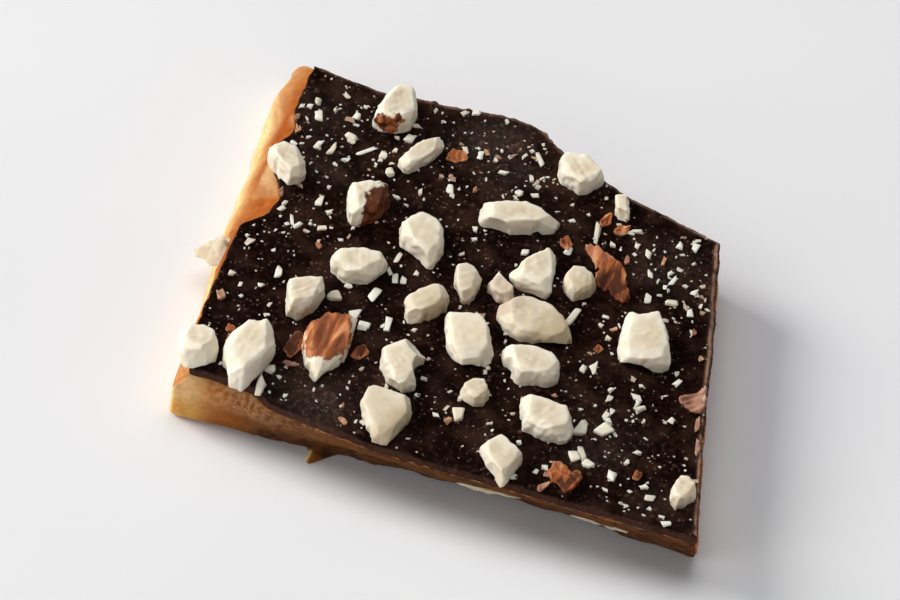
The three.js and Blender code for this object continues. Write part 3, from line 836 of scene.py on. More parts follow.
def chipped(directions, radii, number, rng):
    """Radii cut back by flat facets across the upper edges: the almond's own and four random ones. A
    facet with the unit normal n at the distance d from the middle stops a ray with the direction v
    at d / (n . v)."""
    turns = rng.uniform((-170, -115, -50, -10), (-125, -65, -15, 30))
    rises = rng.uniform((35, 60, 35, 42), (55, 72, 55, 60))
    facets = [*FACETS.get(number, ()), *zip(turns, rises, rng.uniform(0.82, 0.96, 4))]
    turns, rises, shares = np.array(facets).T * ((np.pi / 180,), (np.pi / 180,), (1,))
    normals = np.stack([np.cos(turns) * np.cos(rises), np.sin(turns) * np.cos(rises), np.sin(rises)])
    reach = (directions * radii[:, None] @ normals).max(axis=0) * shares
    toward = directions @ normals
    stops = np.where(toward > 0.01, reach / np.maximum(toward, 0.01), np.inf)
    return np.minimum(radii, stops.min(axis=1))


def almond_shape(number, settings):
    """A chopped almond: its outline from the node's upright faces, crisp at the corners, joined to the
    node's foot and top by a narrow shoulder, with notches, facets, shallow scoops and a fine
    unevenness, and the foot set into the chocolate. Returns points, quads and a table of
    attributes."""
    name = almond_name(number)
    middle, normals, distances = face_planes(name)
    directions, quads, size = node_rays(name, ALMOND_CELLS)
    upright, foot = np.abs(normals[:, 2]) < 0.6, normals[:, 2] < -0.8
    distances = distances + np.select([foot, ~upright], [settings.depth / MM, SHOULDER_MARGIN])

    def outline_radius(ways):
        return faceted_radii(ways, normals[upright], distances[upright], ALMOND_SHARPNESS)

    rng = np.random.default_rng(100 + number)
    sides = outline_radius(directions)
    sides = notched(directions, sides, chopped_notches(number, middle, outline_radius, rng))
    ends = faceted_radii(directions, normals[~upright], distances[~upright], ALMOND_SHARPNESS)
    nearer = sides**-SHOULDER_SHARPNESS + ends**-SHOULDER_SHARPNESS
    radii = ROUNDING_MARGIN * nearer ** (-1 / SHOULDER_SHARPNESS)
    radii = chipped(directions, radii, number, rng)
    radii = scooped(directions, radii, settings.dent / MM * size.min() / 2, 3, rng)
    points = directions * radii[:, None]
    uneven = waves(points, 1.9, 200 + number) + 0.8 * waves(points, 0.8, 300 + number)
    uneven *= settings.grain / MM
    skin = skin_cover(number, points + middle)
    furrows = 0.10 * skin * waves(points * (1.0, 0.16, 1.0), 1.1, 450 + number)
    points = directions * (radii + uneven + furrows)[:, None]
    flat = np.hypot(*points[:, :2].T)
    outline = outline_radius(unit(points * (1, 1, 0) + (1e-6, 0, 0)))
    heart = (1 - smooth_step(0.4, 0.85, flat / outline)) * (points[:, 2] > 0)
    # Painted shade: tan grows towards each almond's right and front side.
    shaded_side = smooth_step(-0.05, 0.75, points @ (0.85, -0.35, 0.0) / outline)
    tan = TANS_AND_SHADES.get(number, 0.4 * rng.random())
    tone = SKINS[number][2] if number in SKINS else 0.5
    marks = almond_marks(len(points), skin, heart, (0.35 + 0.65 * shaded_side) * tan, tone)
    return points + middle, quads, marks


def skin_cover(number, points):
    """How much skin each point of an almond shows: the skin's strength inside its ball or egg, 0
    outside, with a ragged edge between."""
    if number not in SKINS:
        return np.zeros(len(points))
    place, reach, _, strength = SKINS[number]
    middle = np.array([*(RIM_CORNER + place[:2]), CHOCOLATE_TOP + place[2]])
    ragged = 0.12 * waves(points, 1.3, 400 + number) + 0.07 * waves(points, 0.5, 500 + number)
    inside = min(reach) * (1 - np.linalg.norm((points - middle) / reach, axis=1)) + ragged
    return strength * smooth_step(-0.08, 0.08, inside)


def sliver_shape(number):
    """A sliver in the toffee: the node's faces with rounded edges, standing a little proud of the
    broken side. Returns points, quads and attributes."""
    name = f"sliver_{number}"
    middle, normals, distances = face_planes(name)
    directions, quads, _ = node_rays(name, SLIVER_CELLS)
    radii = faceted_radii(directions, normals, distances + SLIVER_MARGIN, SLIVER_SHARPNESS)
    points = directions * (SLIVER_ROUNDING_MARGIN * radii)[:, None]
    uneven = 0.10 * waves(points, 1.5, 600 + number) + 0.05 * waves(points, 0.6, 620 + number)
    points = points + directions * uneven[:, None] + middle
    return points, quads, almond_marks(len(points), tan=0.8)


# ---- Flakes of skin ----

# A flake's rings, from the middle of its underside out and back over the top: how far out each is,
# and its height as a share of the flake's thickness.
FLAKE_RINGS = np.array([
    (0.05, 0.0), (0.5, 0.0), (0.93, 0.0), (1.0, 0.3), (0.99, 0.75), (0.94, 1.0), (0.84, 1.0), (0.7, 1.0),
    (0.55, 1.0), (0.4, 1.0), (0.25, 1.0), (0.08, 1.0),
])
FLAKE_POINTS = len(FLAKE_RINGS) * FLAKE_COLUMNS + 2
# How deep a flake of the frame is set, and what it leaves of its height for its bend and furrows.
FLAKE_DEPTH = 0.05
FLAKE_ROOM = 0.3
# How thick the loose flakes are, how far their ends bend up and how deep they are set.
LOOSE_THICKNESS = 0.28
LOOSE_BEND = 0.15
LOOSE_DEPTH = 0.02


def flake_shape(outline, thickness, bend, seed):
    """A flake: rings of its outline, drawn in towards its middle. It bends up as the square of the
    distance from a line across it, and furrows run along that line. Returns points, faces and how
    far out each point lies."""
    closed = np.vstack([outline, outline[:1]])
    length = np.append(0, np.cumsum(np.hypot(*np.diff(closed, axis=0).T)))
    wanted = np.linspace(0, length[-1], FLAKE_COLUMNS, endpoint=False)
    line = np.column_stack([np.interp(wanted, length, closed[:, axis]) for axis in (0, 1)])
    middle = line.mean(axis=0)
    line += (line - middle) * 0.035 * waves(line, 0.7, seed, 9)[:, None]
    share, level = FLAKE_RINGS.T
    flat = middle + share[:, None, None] * (line - middle)
    offset = (flat - middle) / np.abs(line - middle).max()
    turn = np.random.default_rng(seed).uniform(0, math.pi)
    along = offset @ (math.cos(turn), math.sin(turn))
    across = offset @ (-math.sin(turn), math.cos(turn))
    ridges = waves(np.stack([along * 0.6, across * 2.4], axis=-1).reshape(-1, 2), 1.0, seed + 1)
    height = level[:, None] * thickness * (1 + 0.16 * ridges.reshape(along.shape)) + bend * along**2
    rings = np.concatenate([flat, height[..., None]], axis=-1)
    points, faces = capped_rings(rings, (*middle, 0.0), (*middle, height[-1].mean()))
    return points, faces, np.append(np.repeat(share, FLAKE_COLUMNS), [0, 0])


def skinned_flake(number):
    """A flake that stands for an almond of the frame. It takes painted shade towards its front right, is
    paler at its rim, and a paler one shows the nut's inside in spots. Returns points, faces and
    attributes."""
    outline, bend, dark = FLAKES[number]
    thickness = box_mm(almond_name(number))[1][2] - CHOCOLATE_TOP - FLAKE_ROOM
    points, faces, out = flake_shape(RIM_CORNER + outline, thickness, bend, 700 + number)
    points[:, 2] += CHOCOLATE_TOP - FLAKE_DEPTH
    ragged = 0.1 * waves(points, 0.8, 720 + number)
    middle = points[:, :2].mean(axis=0)
    aside = (points[:, :2] - middle) @ (0.6, -0.8) / np.ptp(points[:, :2], axis=0).max()
    # Painted shade towards the front right, and paler at the rim.
    tone = dark * (1 + 0.7 * aside) * (1 - 0.35 * smooth_step(0.88, 1.0, out + ragged))
    spot = smooth_step(1.0, 1.5, waves(points[:, :2], 1.7, 740 + number)) * (out < 0.9)
    skin = 1 - 0.6 * spot * max(0.98 - dark, 0)
    return points, faces, almond_marks(len(points), skin, tone=tone)


def jagged_outline(width, length, turn, rng):
    """The outline of a random flake: corners at uneven angles and distances round it, scaled to its
    width and length and turned."""
    count = rng.integers(5, 8)
    angles = (np.arange(count) + rng.uniform(-0.35, 0.35, count)) * 2 * math.pi / count
    reach = rng.uniform(0.7, 1.15, count)
    x, y = reach * np.cos(angles) * width / 2, reach * np.sin(angles) * length / 2
    cosine, sine = math.cos(turn), math.sin(turn)
    return np.column_stack([x * cosine - y * sine, x * sine + y * cosine])


# ---- Small almond pieces ----

# Larger bits, placed one by one: x, y, width, length, turn in degrees.
BITS = (
    (21.9, 40.6, 0.7, 2.9, 37), (0.9, 38.3, 0.8, 1.0, 0), (1.6, 36.7, 0.9, 1.6, 15),
    (0.4, 37.4, 0.6, 0.7, 0), (10.2, 37.4, 0.9, 1.0, 0), (4.8, 38.1, 0.8, 0.8, 0),
    (5.3, 35.0, 1.3, 1.1, 0), (7.0, 34.0, 0.5, 2.4, -37), (2.8, 33.0, 0.7, 1.2, 0),
    (4.2, 32.9, 0.7, 1.6, -10), (8.7, 34.3, 0.7, 0.9, 0), (9.9, 32.5, 1.0, 1.2, 30),
    (15.8, 32.5, 0.7, 1.3, 15), (21.7, 34.9, 0.9, 1.1, -20), (17.0, 38.0, 0.6, 1.1, 10),
    (5.2, 26.0, 0.7, 1.2, 0), (3.6, 22.6, 0.5, 1.6, 24), (4.4, 22.4, 0.5, 1.4, -28),
    (14.2, 22.0, 0.6, 1.6, 0), (14.6, 19.6, 0.7, 1.6, 15), (13.5, 16.6, 0.9, 1.9, -10),
    (10.3, 14.9, 1.6, 1.3, 20), (4.6, 15.8, 0.8, 1.6, 0), (12.7, 13.2, 1.0, 1.8, 0),
    (14.0, 12.6, 0.9, 1.1, 0), (15.9, 13.7, 0.8, 1.8, 12), (0.8, 13.6, 0.6, 0.7, 0),
    (1.9, 12.7, 0.6, 0.7, 0), (3.7, 13.2, 0.7, 0.7, 0), (7.9, 3.6, 1.0, 1.0, 0),
    (25.4, 5.7, 1.3, 2.2, 10), (36.1, 8.7, 1.2, 1.8, 0), (38.3, 9.0, 1.9, 1.6, -30),
    (37.1, 5.9, 0.8, 2.2, 25), (38.0, 4.6, 1.2, 1.0, 0), (36.7, 4.9, 1.0, 1.3, 30),
    (40.5, 4.2, 1.0, 1.2, 0), (44.5, 3.0, 0.8, 0.8, 0), (34.9, 16.6, 0.8, 1.6, 0),
    (34.0, 16.0, 0.6, 1.0, 0), (40.0, 13.9, 0.6, 1.2, 0), (43.5, 13.1, 0.7, 0.9, 0),
    (38.1, 11.9, 0.5, 1.0, 0), (30.1, 33.0, 0.6, 3.2, 12), (33.2, 34.9, 0.8, 1.7, -60),
    (37.5, 35.0, 0.7, 0.9, 0), (39.0, 35.3, 0.6, 1.0, 0), (33.9, 33.2, 0.7, 0.8, 0),
    (35.3, 32.3, 0.8, 1.2, 0), (36.0, 30.1, 0.7, 1.3, 20), (38.3, 30.2, 0.5, 1.4, -15),
    (40.6, 29.5, 0.8, 1.1, 0), (39.1, 27.6, 1.2, 0.9, 0), (41.0, 26.9, 0.6, 1.2, 20),
    (28.2, 30.0, 0.7, 1.4, 0), (24.6, 27.9, 0.9, 0.9, 0), (31.2, 21.9, 0.6, 2.2, -12),
    (7.9, 1.3, 1.2, 2.1, 5),
)
# Loose flakes of skin: x, y, width, length, turn in degrees and how dark.
SKIN_BITS = (
    (2.9, 6.9, 1.0, 1.3, 20, 0.8), (3.3, 5.8, 0.7, 0.9, 0, 0.5), (46.6, 10.8, 0.6, 2.2, 12, 0.1),
    (45.8, 13.4, 0.6, 2.2, 14, 0.2), (15.1, 37.0, 2.4, 1.7, 20, 1.05),
    (14.8, 9.2, 1.3, 2.4, -15, 0.9), (8.9, 7.4, 1.8, 4.0, -10, 1.2), (9.4, 5.1, 1.6, 0.6, 10, 0.1),
    (32.0, 34.3, 1.5, 1.9, -20, 0.7), (24.8, 4.2, 0.7, 0.9, 0, 0.3),
    (35.2, 0.2, 0.7, 1.9, -28, 0.3), (34.6, 18.6, 0.9, 1.2, 0, 0.8), (42.6, 5.0, 1.0, 1.3, 0, 1.0),
    (16.0, 0.2, 0.6, 1.2, 70, 0.4), (33.6, 30.9, 0.6, 1.0, 10, 0.2), (17.9, 33.6, 0.5, 0.8, 0, 0.5),
    (7.0, 20.4, 0.6, 0.8, 50, 0.7), (27.8, 30.6, 1.6, 2.0, 20, 1.0),
    (30.3, 35.0, 1.2, 2.6, -12, 0.9), (42.1, 24.6, 0.5, 0.7, 0, 0.6), (0.3, 34.2, 0.6, 1.2, 10, 0.3),
    (-0.3, 35.5, 0.6, 0.8, -20, 0.2), (1.6, 25.4, 0.6, 1.4, 12, 0.1), (0.8, 10.6, 1.1, 1.3, 30, 0.2),
)
# Where fine specks crowd: x, y, radius and how much denser than elsewhere.
SPECK_CROWDS = (
    (3.5, 36.5, 3.6, 1.8), (3.8, 28.5, 3.0, 2.0), (36.8, 32.0, 4.4, 2.2), (40.5, 27.5, 3.0, 1.6),
    (17.5, 39.0, 3.6, 2.6), (8.6, 33.5, 2.4, 1.4), (10.0, 23.0, 2.6, 1.2), (38.0, 6.5, 3.6, 1.8),
    (4.0, 21.5, 3.0, 2.2), (14.0, 31.5, 3.0, 0.8), (38.5, 13.0, 4.0, 1.4), (24.5, 35.5, 4.0, 1.0),
)
# Where specks may lie, how many places are tried for each, how dense they are away from the crowds
# and where every place is taken, and how far they keep from the slab's edge and from the almonds.
SPECK_AREA = ((-1, -1), (49.5, 44.5))
SPECK_TRIES = 60
SPECK_DENSITY = 0.7
FULL_DENSITY = 10
EDGE_DISTANCE = 0.2
ALMOND_DISTANCE = 0.12
# The width of the narrowest speck, and how much wider the widest is.
SPECK_WIDTH = 0.21
SPECK_SPREAD = 0.56
# How high bits and specks are as shares of their width, and how much of that the chocolate covers.
BIT_FLATNESS = 0.62
SPECK_FLATNESS = 0.75
SUNK_SHARE = 0.4
# How much wider a bit's cube is than the bit.
CUBE_SHARE = 1.12


def bit_shapes(places, sizes, turns, cells, seed):
    """Small broken bits, all in one array. Each starts as a cube with rounded edges, its points divided
    by the ninth root of the sum of their coordinates' ninth powers. The cube's eight corners are
    moved at random and its points go with them, each by its share of all eight. The bit is then
    scaled, turned about the vertical and moved to its place."""
    rng = np.random.default_rng(seed)
    sphere, quads = cube_sphere(cells)
    cube = sphere / (np.abs(sphere) ** 9).sum(axis=1, keepdims=True) ** (1 / 9)
    signs = np.array([(x, y, z) for x in (-1, 1) for y in (-1, 1) for z in (-1, 1)])
    shares = ((1 + cube[:, None, :] * signs) / 2).prod(axis=2)
    count = len(places)
    pulled = rng.uniform((0.15, 0.15, 0.45), (1.2, 1.2, 1.0), (count, 8, 3))
    shapes = np.einsum("vc,bck->bvk", shares, signs * pulled) * sizes[:, None, :] / 2
    cosine, sine = np.cos(turns)[:, None], np.sin(turns)[:, None]
    x = shapes[..., 0] * cosine - shapes[..., 1] * sine
    y = shapes[..., 0] * sine + shapes[..., 1] * cosine
    points = np.stack([x, y, shapes[..., 2]], axis=-1) + places[:, None, :]
    faces = quads[None, :, :] + (np.arange(count) * len(sphere))[:, None, None]
    return points.reshape(-1, 3), faces.reshape(-1, 4).tolist(), len(sphere)


def on_surface(flat, settings, sunk):
    """Places with their heights on the chocolate, less how deep each is sunk."""
    return np.column_stack([flat, CHOCOLATE_TOP + chocolate_relief(flat, settings) - sunk])


def free_places(count, seed):
    """Random places for specks, drawn from many and kept by how dense they should be there, clear of
    the almonds and of the slab's edge."""
    rng = np.random.default_rng(seed)
    flat = rng.uniform(*SPECK_AREA, (SPECK_TRIES * count, 2))
    density = np.full(len(flat), SPECK_DENSITY)
    for x, y, radius, strength in SPECK_CROWDS:
        density += strength * np.exp(-((flat - (x, y)) ** 2).sum(axis=1) / radius**2)
    kept = flat[rng.random(len(flat)) < density / FULL_DENSITY] + RIM_CORNER
    offset = kept - MIDDLE
    widest = slice_radii(node_triangles("chocolate"), CHOCOLATE_TOP - 0.1, ANGLES)
    turn = np.mod(np.arctan2(offset[:, 1], offset[:, 0]) - ANGLES[0], 2 * math.pi) + ANGLES[0]
    edge = np.interp(turn, ANGLES, widest, period=2 * math.pi)
    inside = np.hypot(*offset.T) < edge - EDGE_DISTANCE
    clear = footprint_distance(kept) > ALMOND_DISTANCE
    return kept[inside & clear][:count]


def placed_bits(table, seed):
    """Places, sizes and turns of a table of bits. The height is a share of the smaller side, drawn anew
    for each bit."""
    rows = np.array(table, dtype=float)
    rng = np.random.default_rng(seed)
    heights = rows[:, 2:4].min(axis=1) * BIT_FLATNESS * rng.uniform(0.8, 1.2, len(rows))
    sizes = np.column_stack([rows[:, 2:4] * CUBE_SHARE, heights])
    return rows[:, :2] + RIM_CORNER, sizes, np.radians(rows[:, 4])


# ---- Materials ----


class Value:
    """A number that changes over a surface. Its operators add Math nodes to its material."""

    def __init__(self, finish, socket):
        self.finish = finish
        self.socket = socket

    def __add__(self, other):
        return self.finish.math("ADD", self, other)

    def __sub__(self, other):
        return self.finish.math("SUBTRACT", self, other)

    def __rsub__(self, other):
        return self.finish.math("SUBTRACT", other, self)

    def __mul__(self, other):
        return self.finish.math("MULTIPLY", self, other)

    __radd__ = __add__
    __rmul__ = __mul__

    def largest(self, other):
        """The larger of the two numbers."""
        return self.finish.math("MAXIMUM", self, other)

    def between(self, low, high):
        """0 at low, 1 at high and a smooth step between them. Low may be above high."""
        inputs = {"Value": self, "From Min": low, "From Max": high}
        node = self.finish.add("ShaderNodeMapRange", {"interpolation_type": "SMOOTHSTEP"}, inputs)
        return Value(self.finish, node.outputs["Result"])


class Finish:
    """A material under construction, with its nodes and the coordinates of its object in millimetres."""

    def __init__(self, name):
        self.material = bpy.data.materials.new(name)
        self.material.use_nodes = True
        self.nodes = self.material.node_tree.nodes
        self.links = self.material.node_tree.links
        self.shader = self.nodes["Principled BSDF"]
        place = self.add("ShaderNodeTexCoord", {}, {}).outputs["Object"]
        scaled = self.add("ShaderNodeVectorMath", {"operation": "SCALE"}, {0: place, "Scale": 1 / MM})
        self.place = scaled.outputs[0]

    def add(self, kind, settings, inputs):
        """A node of a kind, with its settings and then the values or links of its sockets."""
        node = self.nodes.new(kind)
        for setting, value in settings.items():
            setattr(node, setting, value)
        for socket, value in inputs.items():
            self.join(node.inputs[socket], value)
        return node

    def join(self, socket, value):
        """Links a value or an output to a socket, or sets a plain number or colour on it."""
        if isinstance(value, Value):
            self.links.new(value.socket, socket)
        elif isinstance(value, bpy.types.NodeSocket):
            self.links.new(value, socket)
        elif isinstance(value, (int, float)):
            socket.default_value = value
        else:
            padded = tuple(value) + (1.0,)
            socket.default_value = padded[:len(socket.default_value)]

    def math(self, operation, *numbers):
        """A number worked out from others by a Math node."""
        node = self.add("ShaderNodeMath", {"operation": operation}, dict(enumerate(numbers)))
        return Value(self, node.outputs[0])

    def attribute(self, name):
        """A number kept on the mesh's points."""
        node = self.add("ShaderNodeAttribute", {"attribute_name": name}, {})
        return Value(self, node.outputs["Fac"])

    def stretched(self, scale, turn=(0, 0, 0)):
        """The coordinates turned, in degrees, and scaled along each axis."""
        turn = [math.radians(angle) for angle in turn]
        inputs = {"Vector": self.place, "Rotation": turn, "Scale": scale}
        return self.add("ShaderNodeMapping", {"vector_type": "POINT"}, inputs).outputs["Vector"]

    def noise(self, size, detail=2.0, roughness=0.5, distortion=0.0, place=None):
        """Cloudy noise about 0.5, whose clouds have about the given size."""
        inputs = {"Vector": place or self.place, "Scale": 1 / size, "Detail": detail,
                  "Roughness": roughness, "Distortion": distortion}
        return Value(self, self.add("ShaderNodeTexNoise", {}, inputs).outputs["Fac"])

    def dots(self, size, reach, share, uneven=None, crowd=None):
        """Dots scattered in cells of a size. Each fades out between two distances from its cell's
        middle, to which unevenness may be added. A cell has a dot if its random number, to which
        crowding may be added, lies above a share, which is given as a soft step."""
        inputs = {"Vector": self.place, "Scale": 1 / size, "Randomness": 1.0}
        node = self.add("ShaderNodeTexVoronoi", {}, inputs)
        level = self.add("ShaderNodeSeparateColor", {}, {"Color": node.outputs["Color"]})
        distance, number = Value(self, node.outputs["Distance"]), Value(self, level.outputs[0])
        distance = distance if uneven is None else distance + uneven
        number = number if crowd is None else number + crowd
        return distance.between(*reach) * number.between(*share)

    def mix(self, first, *layers):
        """A colour with others laid over it, each by its factor."""
        for second, factor in layers:
            inputs = {0: factor, 6: first, 7: second}
            first = self.add("ShaderNodeMix", {"data_type": "RGBA"}, inputs).outputs[2]
        return first

    def bump(self, height, distance, strength=1.0, under=None):
        """The normal that a height between 0 and 1 gives, for a distance in millimetres."""
        inputs = {"Height": height, "Distance": distance * MM, "Strength": strength}
        if under is not None:
            inputs["Normal"] = under
        return self.add("ShaderNodeBump", {}, inputs).outputs["Normal"]

    def finished(self, **inputs):
        """The material, with the shader's sockets set. An underscore stands for a space."""
        for name, value in inputs.items():
            self.join(self.shader.inputs[name.replace("_", " ")], value)
        return self.material


def toffee_material(settings):
    """Butter toffee: cloudy amber that light sinks into, made paler by a painted glow at some marked
    places and darkened by painted shade at others, bright where light comes through an edge, with dusty
    bevels, dark flecks of caught sugar and pale almond crumbs."""
    finish = Finish("Butter toffee")
    bevel, browned, clear = (finish.attribute(name) for name in ("bevel", "browned", "clear"))
    pale, lit = (finish.attribute(name) for name in ("pale", "lit"))
    cloud = finish.noise(4.2, 3).between(0.36, 0.66)
    streak = finish.noise(1.0, 3, place=finish.stretched((0.30, 0.30, 1.1))).between(0.4, 0.75)
    depth = finish.noise(1.6, 4, 0.6).between(0.3, 0.6) * 0.35 + 0.65
    shade = finish.noise(1.1, 4, 0.6, place=finish.stretched((1.0, 1.0, 0.35))).between(0.3, 0.7)
    dust = bevel * finish.noise(0.5, 4).between(0.36, 0.62)
    fine = finish.noise(0.22, 4, 0.6)
    flecks = finish.dots(0.7, (0.46, 0.36), (0.86, 0.90), uneven=fine * 0.5)
    mottle = finish.noise(0.8, 4, 0.65).between(0.46, 0.66)
    crumbs = finish.dots(0.55, (0.66, 0.46), (0.84, 0.90), uneven=fine * 0.8)
    colour = finish.mix(
        settings.amber,
        # Cream for the cloudy butter, and a painted glow over the foot of the left side and the front
        # corner.
        (settings.cream, cloud * 0.3 + streak * 0.2 + pale * 0.75),
        (settings.clear, clear * depth),
        (settings.lit, lit * (0.50 + streak * 0.45)),
        # Painted shade over the front.
        (settings.browned, browned * (0.84 + shade * 0.16)),
        (settings.dust, dust * 0.55),
        (settings.burnt, (flecks * 0.5).largest(mottle * 0.22)),
        (settings.crumb, crumbs * (0.15 + bevel * 0.5)),
    )
    grain = finish.bump(finish.noise(0.9, 3, 0.55), 0.10, 0.5)
    normal = finish.bump(fine + crumbs * 0.8 - flecks * 0.6, 0.05, 0.6, under=grain)
    gloss = finish.noise(1.4, 3).between(0.35, 0.7) * (1 - clear) * (1 - dust) * (1 - browned * 0.8)
    return finish.finished(
        Base_Color=colour, Roughness=0.6, Normal=normal, IOR=1.5, Specular_IOR_Level=0.02,
        Coat_Weight=gloss * 0.22, Coat_Roughness=0.3, Coat_IOR=1.5,
        Subsurface_Weight=0.55, Subsurface_Radius=(1.0, 0.38, 0.11),
        Subsurface_Scale=settings.glow_depth,
    )


def chocolate_material(settings):
    """Dark chocolate: near black, browner where it is broken or scraped, dusted with a grey bloom and a
    painted sheen, with almond dust, almond grit and chocolate crumbs, and a painted highlight on its
    rim."""
    finish = Finish("Dark chocolate")
    rough, edge, rim = (finish.attribute(name) for name in ("rough", "edge", "rim"))
    top = 1 - edge
    cloud = finish.noise(3.4, 4, 0.6).between(0.42, 0.70)
    scuff = finish.noise(0.55, 4, 0.65).between(0.5, 0.72)
    streak = finish.noise(0.42, 3, 0.6, place=finish.stretched((1.0, 1.0, 0.22))).between(0.35, 0.65)
    worn = (cloud * 0.40 + rough * scuff * 0.9 + edge * (0.6 + streak * 0.6)).largest(scuff * 0.45)
    bloom_and_sheen = finish.noise(6.5, 3).between(0.52, 0.72) * finish.noise(0.30, 4, 0.7).between(0.45, 0.7)
    # Patches of the painted rim highlight.
    chipped = finish.noise(1.3, 4, 0.6).between(0.35, 0.6)
    crowd = finish.noise(3.6, 2).between(0.42, 0.66) * 0.10
    crumbs = finish.dots(0.75, (0.42, 0.18), (0.80, 0.86)) * top
    grit = finish.dots(0.36, (0.40, 0.16), (0.84, 0.90), crowd=crowd) * top
    dust = finish.dots(0.46, (0.30, 0.16), (0.945, 0.975), crowd=crowd) * top
    colour = finish.mix(
        settings.dark,
        (settings.worn, worn),
        # Grey bloom, and a painted sheen on the scraped patches.
        (settings.bloom_and_sheen, bloom_and_sheen * 0.18 + rough * (scuff * 0.45 + 0.22)),
        # Painted highlight along the rim of the right and back sides.
        (settings.chipped, rim * (chipped * 0.8 + 0.2)),
        (settings.crumb, crumbs * 0.5),
        (settings.grit, grit * 0.35),
        (settings.dust, dust * 0.85),
    )
    grain = finish.bump(finish.noise(0.34, 5, 0.65) + crumbs * 0.5, 0.12, 0.8)
    normal = finish.bump(finish.noise(0.10, 3, 0.6) + dust * 1.2 + grit * 0.6, 0.035, 0.6, under=grain)
    roughness = 0.42 + finish.noise(2.2, 3).between(0.35, 0.7) * 0.16 + rough * 0.12 + edge * 0.14
    return finish.finished(
        Base_Color=colour, Roughness=roughness, Normal=normal, IOR=1.47, Specular_IOR_Level=0.015,
    )


def almond_material(settings):
    """Chopped almond: white to ivory with a faint grain, some light sinking in, painted shade on its
    right and front sides, and furrowed skin wherever the mesh keeps it, from pink for a thin flake's
    inside to dark brown, with painted shade in the furrows and a painted highlight on the ridges."""
    finish = Finish("Chopped almond")
    skin, heart, tan, tone = (finish.attribute(name) for name in ("skin", "heart", "tan", "tone"))
    cloud = finish.noise(1.9, 3).between(0.35, 0.68)
    shade = finish.noise(0.6, 4, 0.6, 0.4).between(0.5, 0.8)
    furrows = finish.noise(1.0, 2, 0.5, 0.4, finish.stretched((1.0, 0.28, 1.0), (0, 0, -8)))
    # Deep furrows take painted shade, and raised ridges a painted highlight.
    deep, ridge_highlight = furrows.between(0.46, 0.58), furrows.between(0.44, 0.34)
    darkest = deep * (tone * 1.5 - 0.52).largest(0) + (tone - 0.85).largest(0) * 1.6
    flesh = finish.mix(
        settings.white,
        (settings.ivory, heart * 0.5 + cloud * 0.3),
        # Tan tone, and painted shade on the almonds' right and front sides.
        (settings.tan, tan * 0.85 + shade * 0.18),
    )
    # The skin: painted shade in the furrows, darker still on the darker skins, and a painted highlight
    # on the ridges of the paler ones.
    brown = finish.mix(
        settings.skin,
        (settings.skin_dark_and_furrow_shade, darkest),
        (settings.skin_ridge_highlight, ridge_highlight * (1.2 - tone).largest(0) * 2.0),
    )
    # A thin flake's inside, with painted shade in its furrows.
    pink = finish.mix(settings.pink, (settings.pink_furrow_shade, deep * 0.6))
    colour = finish.mix(flesh, (finish.mix(pink, (brown, tone * 1.25)), skin))
    facets = finish.bump(finish.noise(1.2, 2, 0.5), 0.08, 0.3)
    height = finish.noise(0.25, 3, 0.5) * 0.5 - deep * skin * 2.2
    normal = finish.bump(height, 0.05, 0.6, under=facets)
    return finish.finished(
        Base_Color=colour, Roughness=0.55 + skin * 0.1, Normal=normal, IOR=1.46, Specular_IOR_Level=0.2,
        Subsurface_Weight=0.5, Subsurface_Radius=(1.0, 0.75, 0.45), Subsurface_Scale=0.9 * MM,
    )


def finish_of(name, maker, settings):
    """A material by its name, made the first time that a piece asks for it."""
    return bpy.data.materials.get(name) or maker(settings)


def almond_finish(context):
    """The almonds' material."""
    return finish_of("Chopped almond", almond_material, context.scene.toffee_almonds)


# ---- Operators ----


class TOFFEE_OT_slab(bpy.types.Operator):
    """Build the slab of butter toffee"""

    bl_idname = "toffee.slab"
    bl_label = "Toffee Slab"

    def execute(self, context):
        settings = context.scene.toffee_slab
        points, faces, attributes = build_toffee(settings)
        material = finish_of("Butter toffee", toffee_material, settings)
        add_piece("butter_toffee", points, faces, material, ["toffee"], attributes)
        return {"FINISHED"}


class TOFFEE_OT_chocolate(bpy.types.Operator):
    """Build the layer of dark chocolate on the toffee"""

    bl_idname = "toffee.chocolate"
    bl_label = "Chocolate Layer"

    def execute(self, context):
        settings = context.scene.toffee_chocolate
        points, faces, attributes = build_chocolate(settings)
        material = finish_of("Dark chocolate", chocolate_material, settings)
        add_piece("dark_chocolate", points, faces, material, ["chocolate"], attributes)
        return {"FINISHED"}


class TOFFEE_OT_almonds(bpy.types.Operator):
    """Build the chopped almonds on the chocolate"""

    bl_idname = "toffee.almonds"
    bl_label = "Chopped Almonds"

    def execute(self, context):
        material = almond_finish(context)
        for number in range(1, ALMOND_COUNT + 1):
            if number in FLAKES:
                points, faces, marks = skinned_flake(number)
            else:
                points, faces, marks = almond_shape(number, context.scene.toffee_almonds)
            name = almond_name(number)
            add_piece(f"chopped_{name}", points, faces, material, [name], marks)
        return {"FINISHED"}


class TOFFEE_OT_slivers(bpy.types.Operator):
    """Build the almond slivers that show in the toffee's sides"""

    bl_idname = "toffee.slivers"
    bl_label = "Almond Slivers"

    def execute(self, context):
        material = almond_finish(context)
        for number in range(1, SLIVER_COUNT + 1):
            points, faces, marks = sliver_shape(number)
            name = f"sliver_{number}"
            add_piece(f"almond_{name}", points, faces, material, [name], marks)
        return {"FINISHED"}


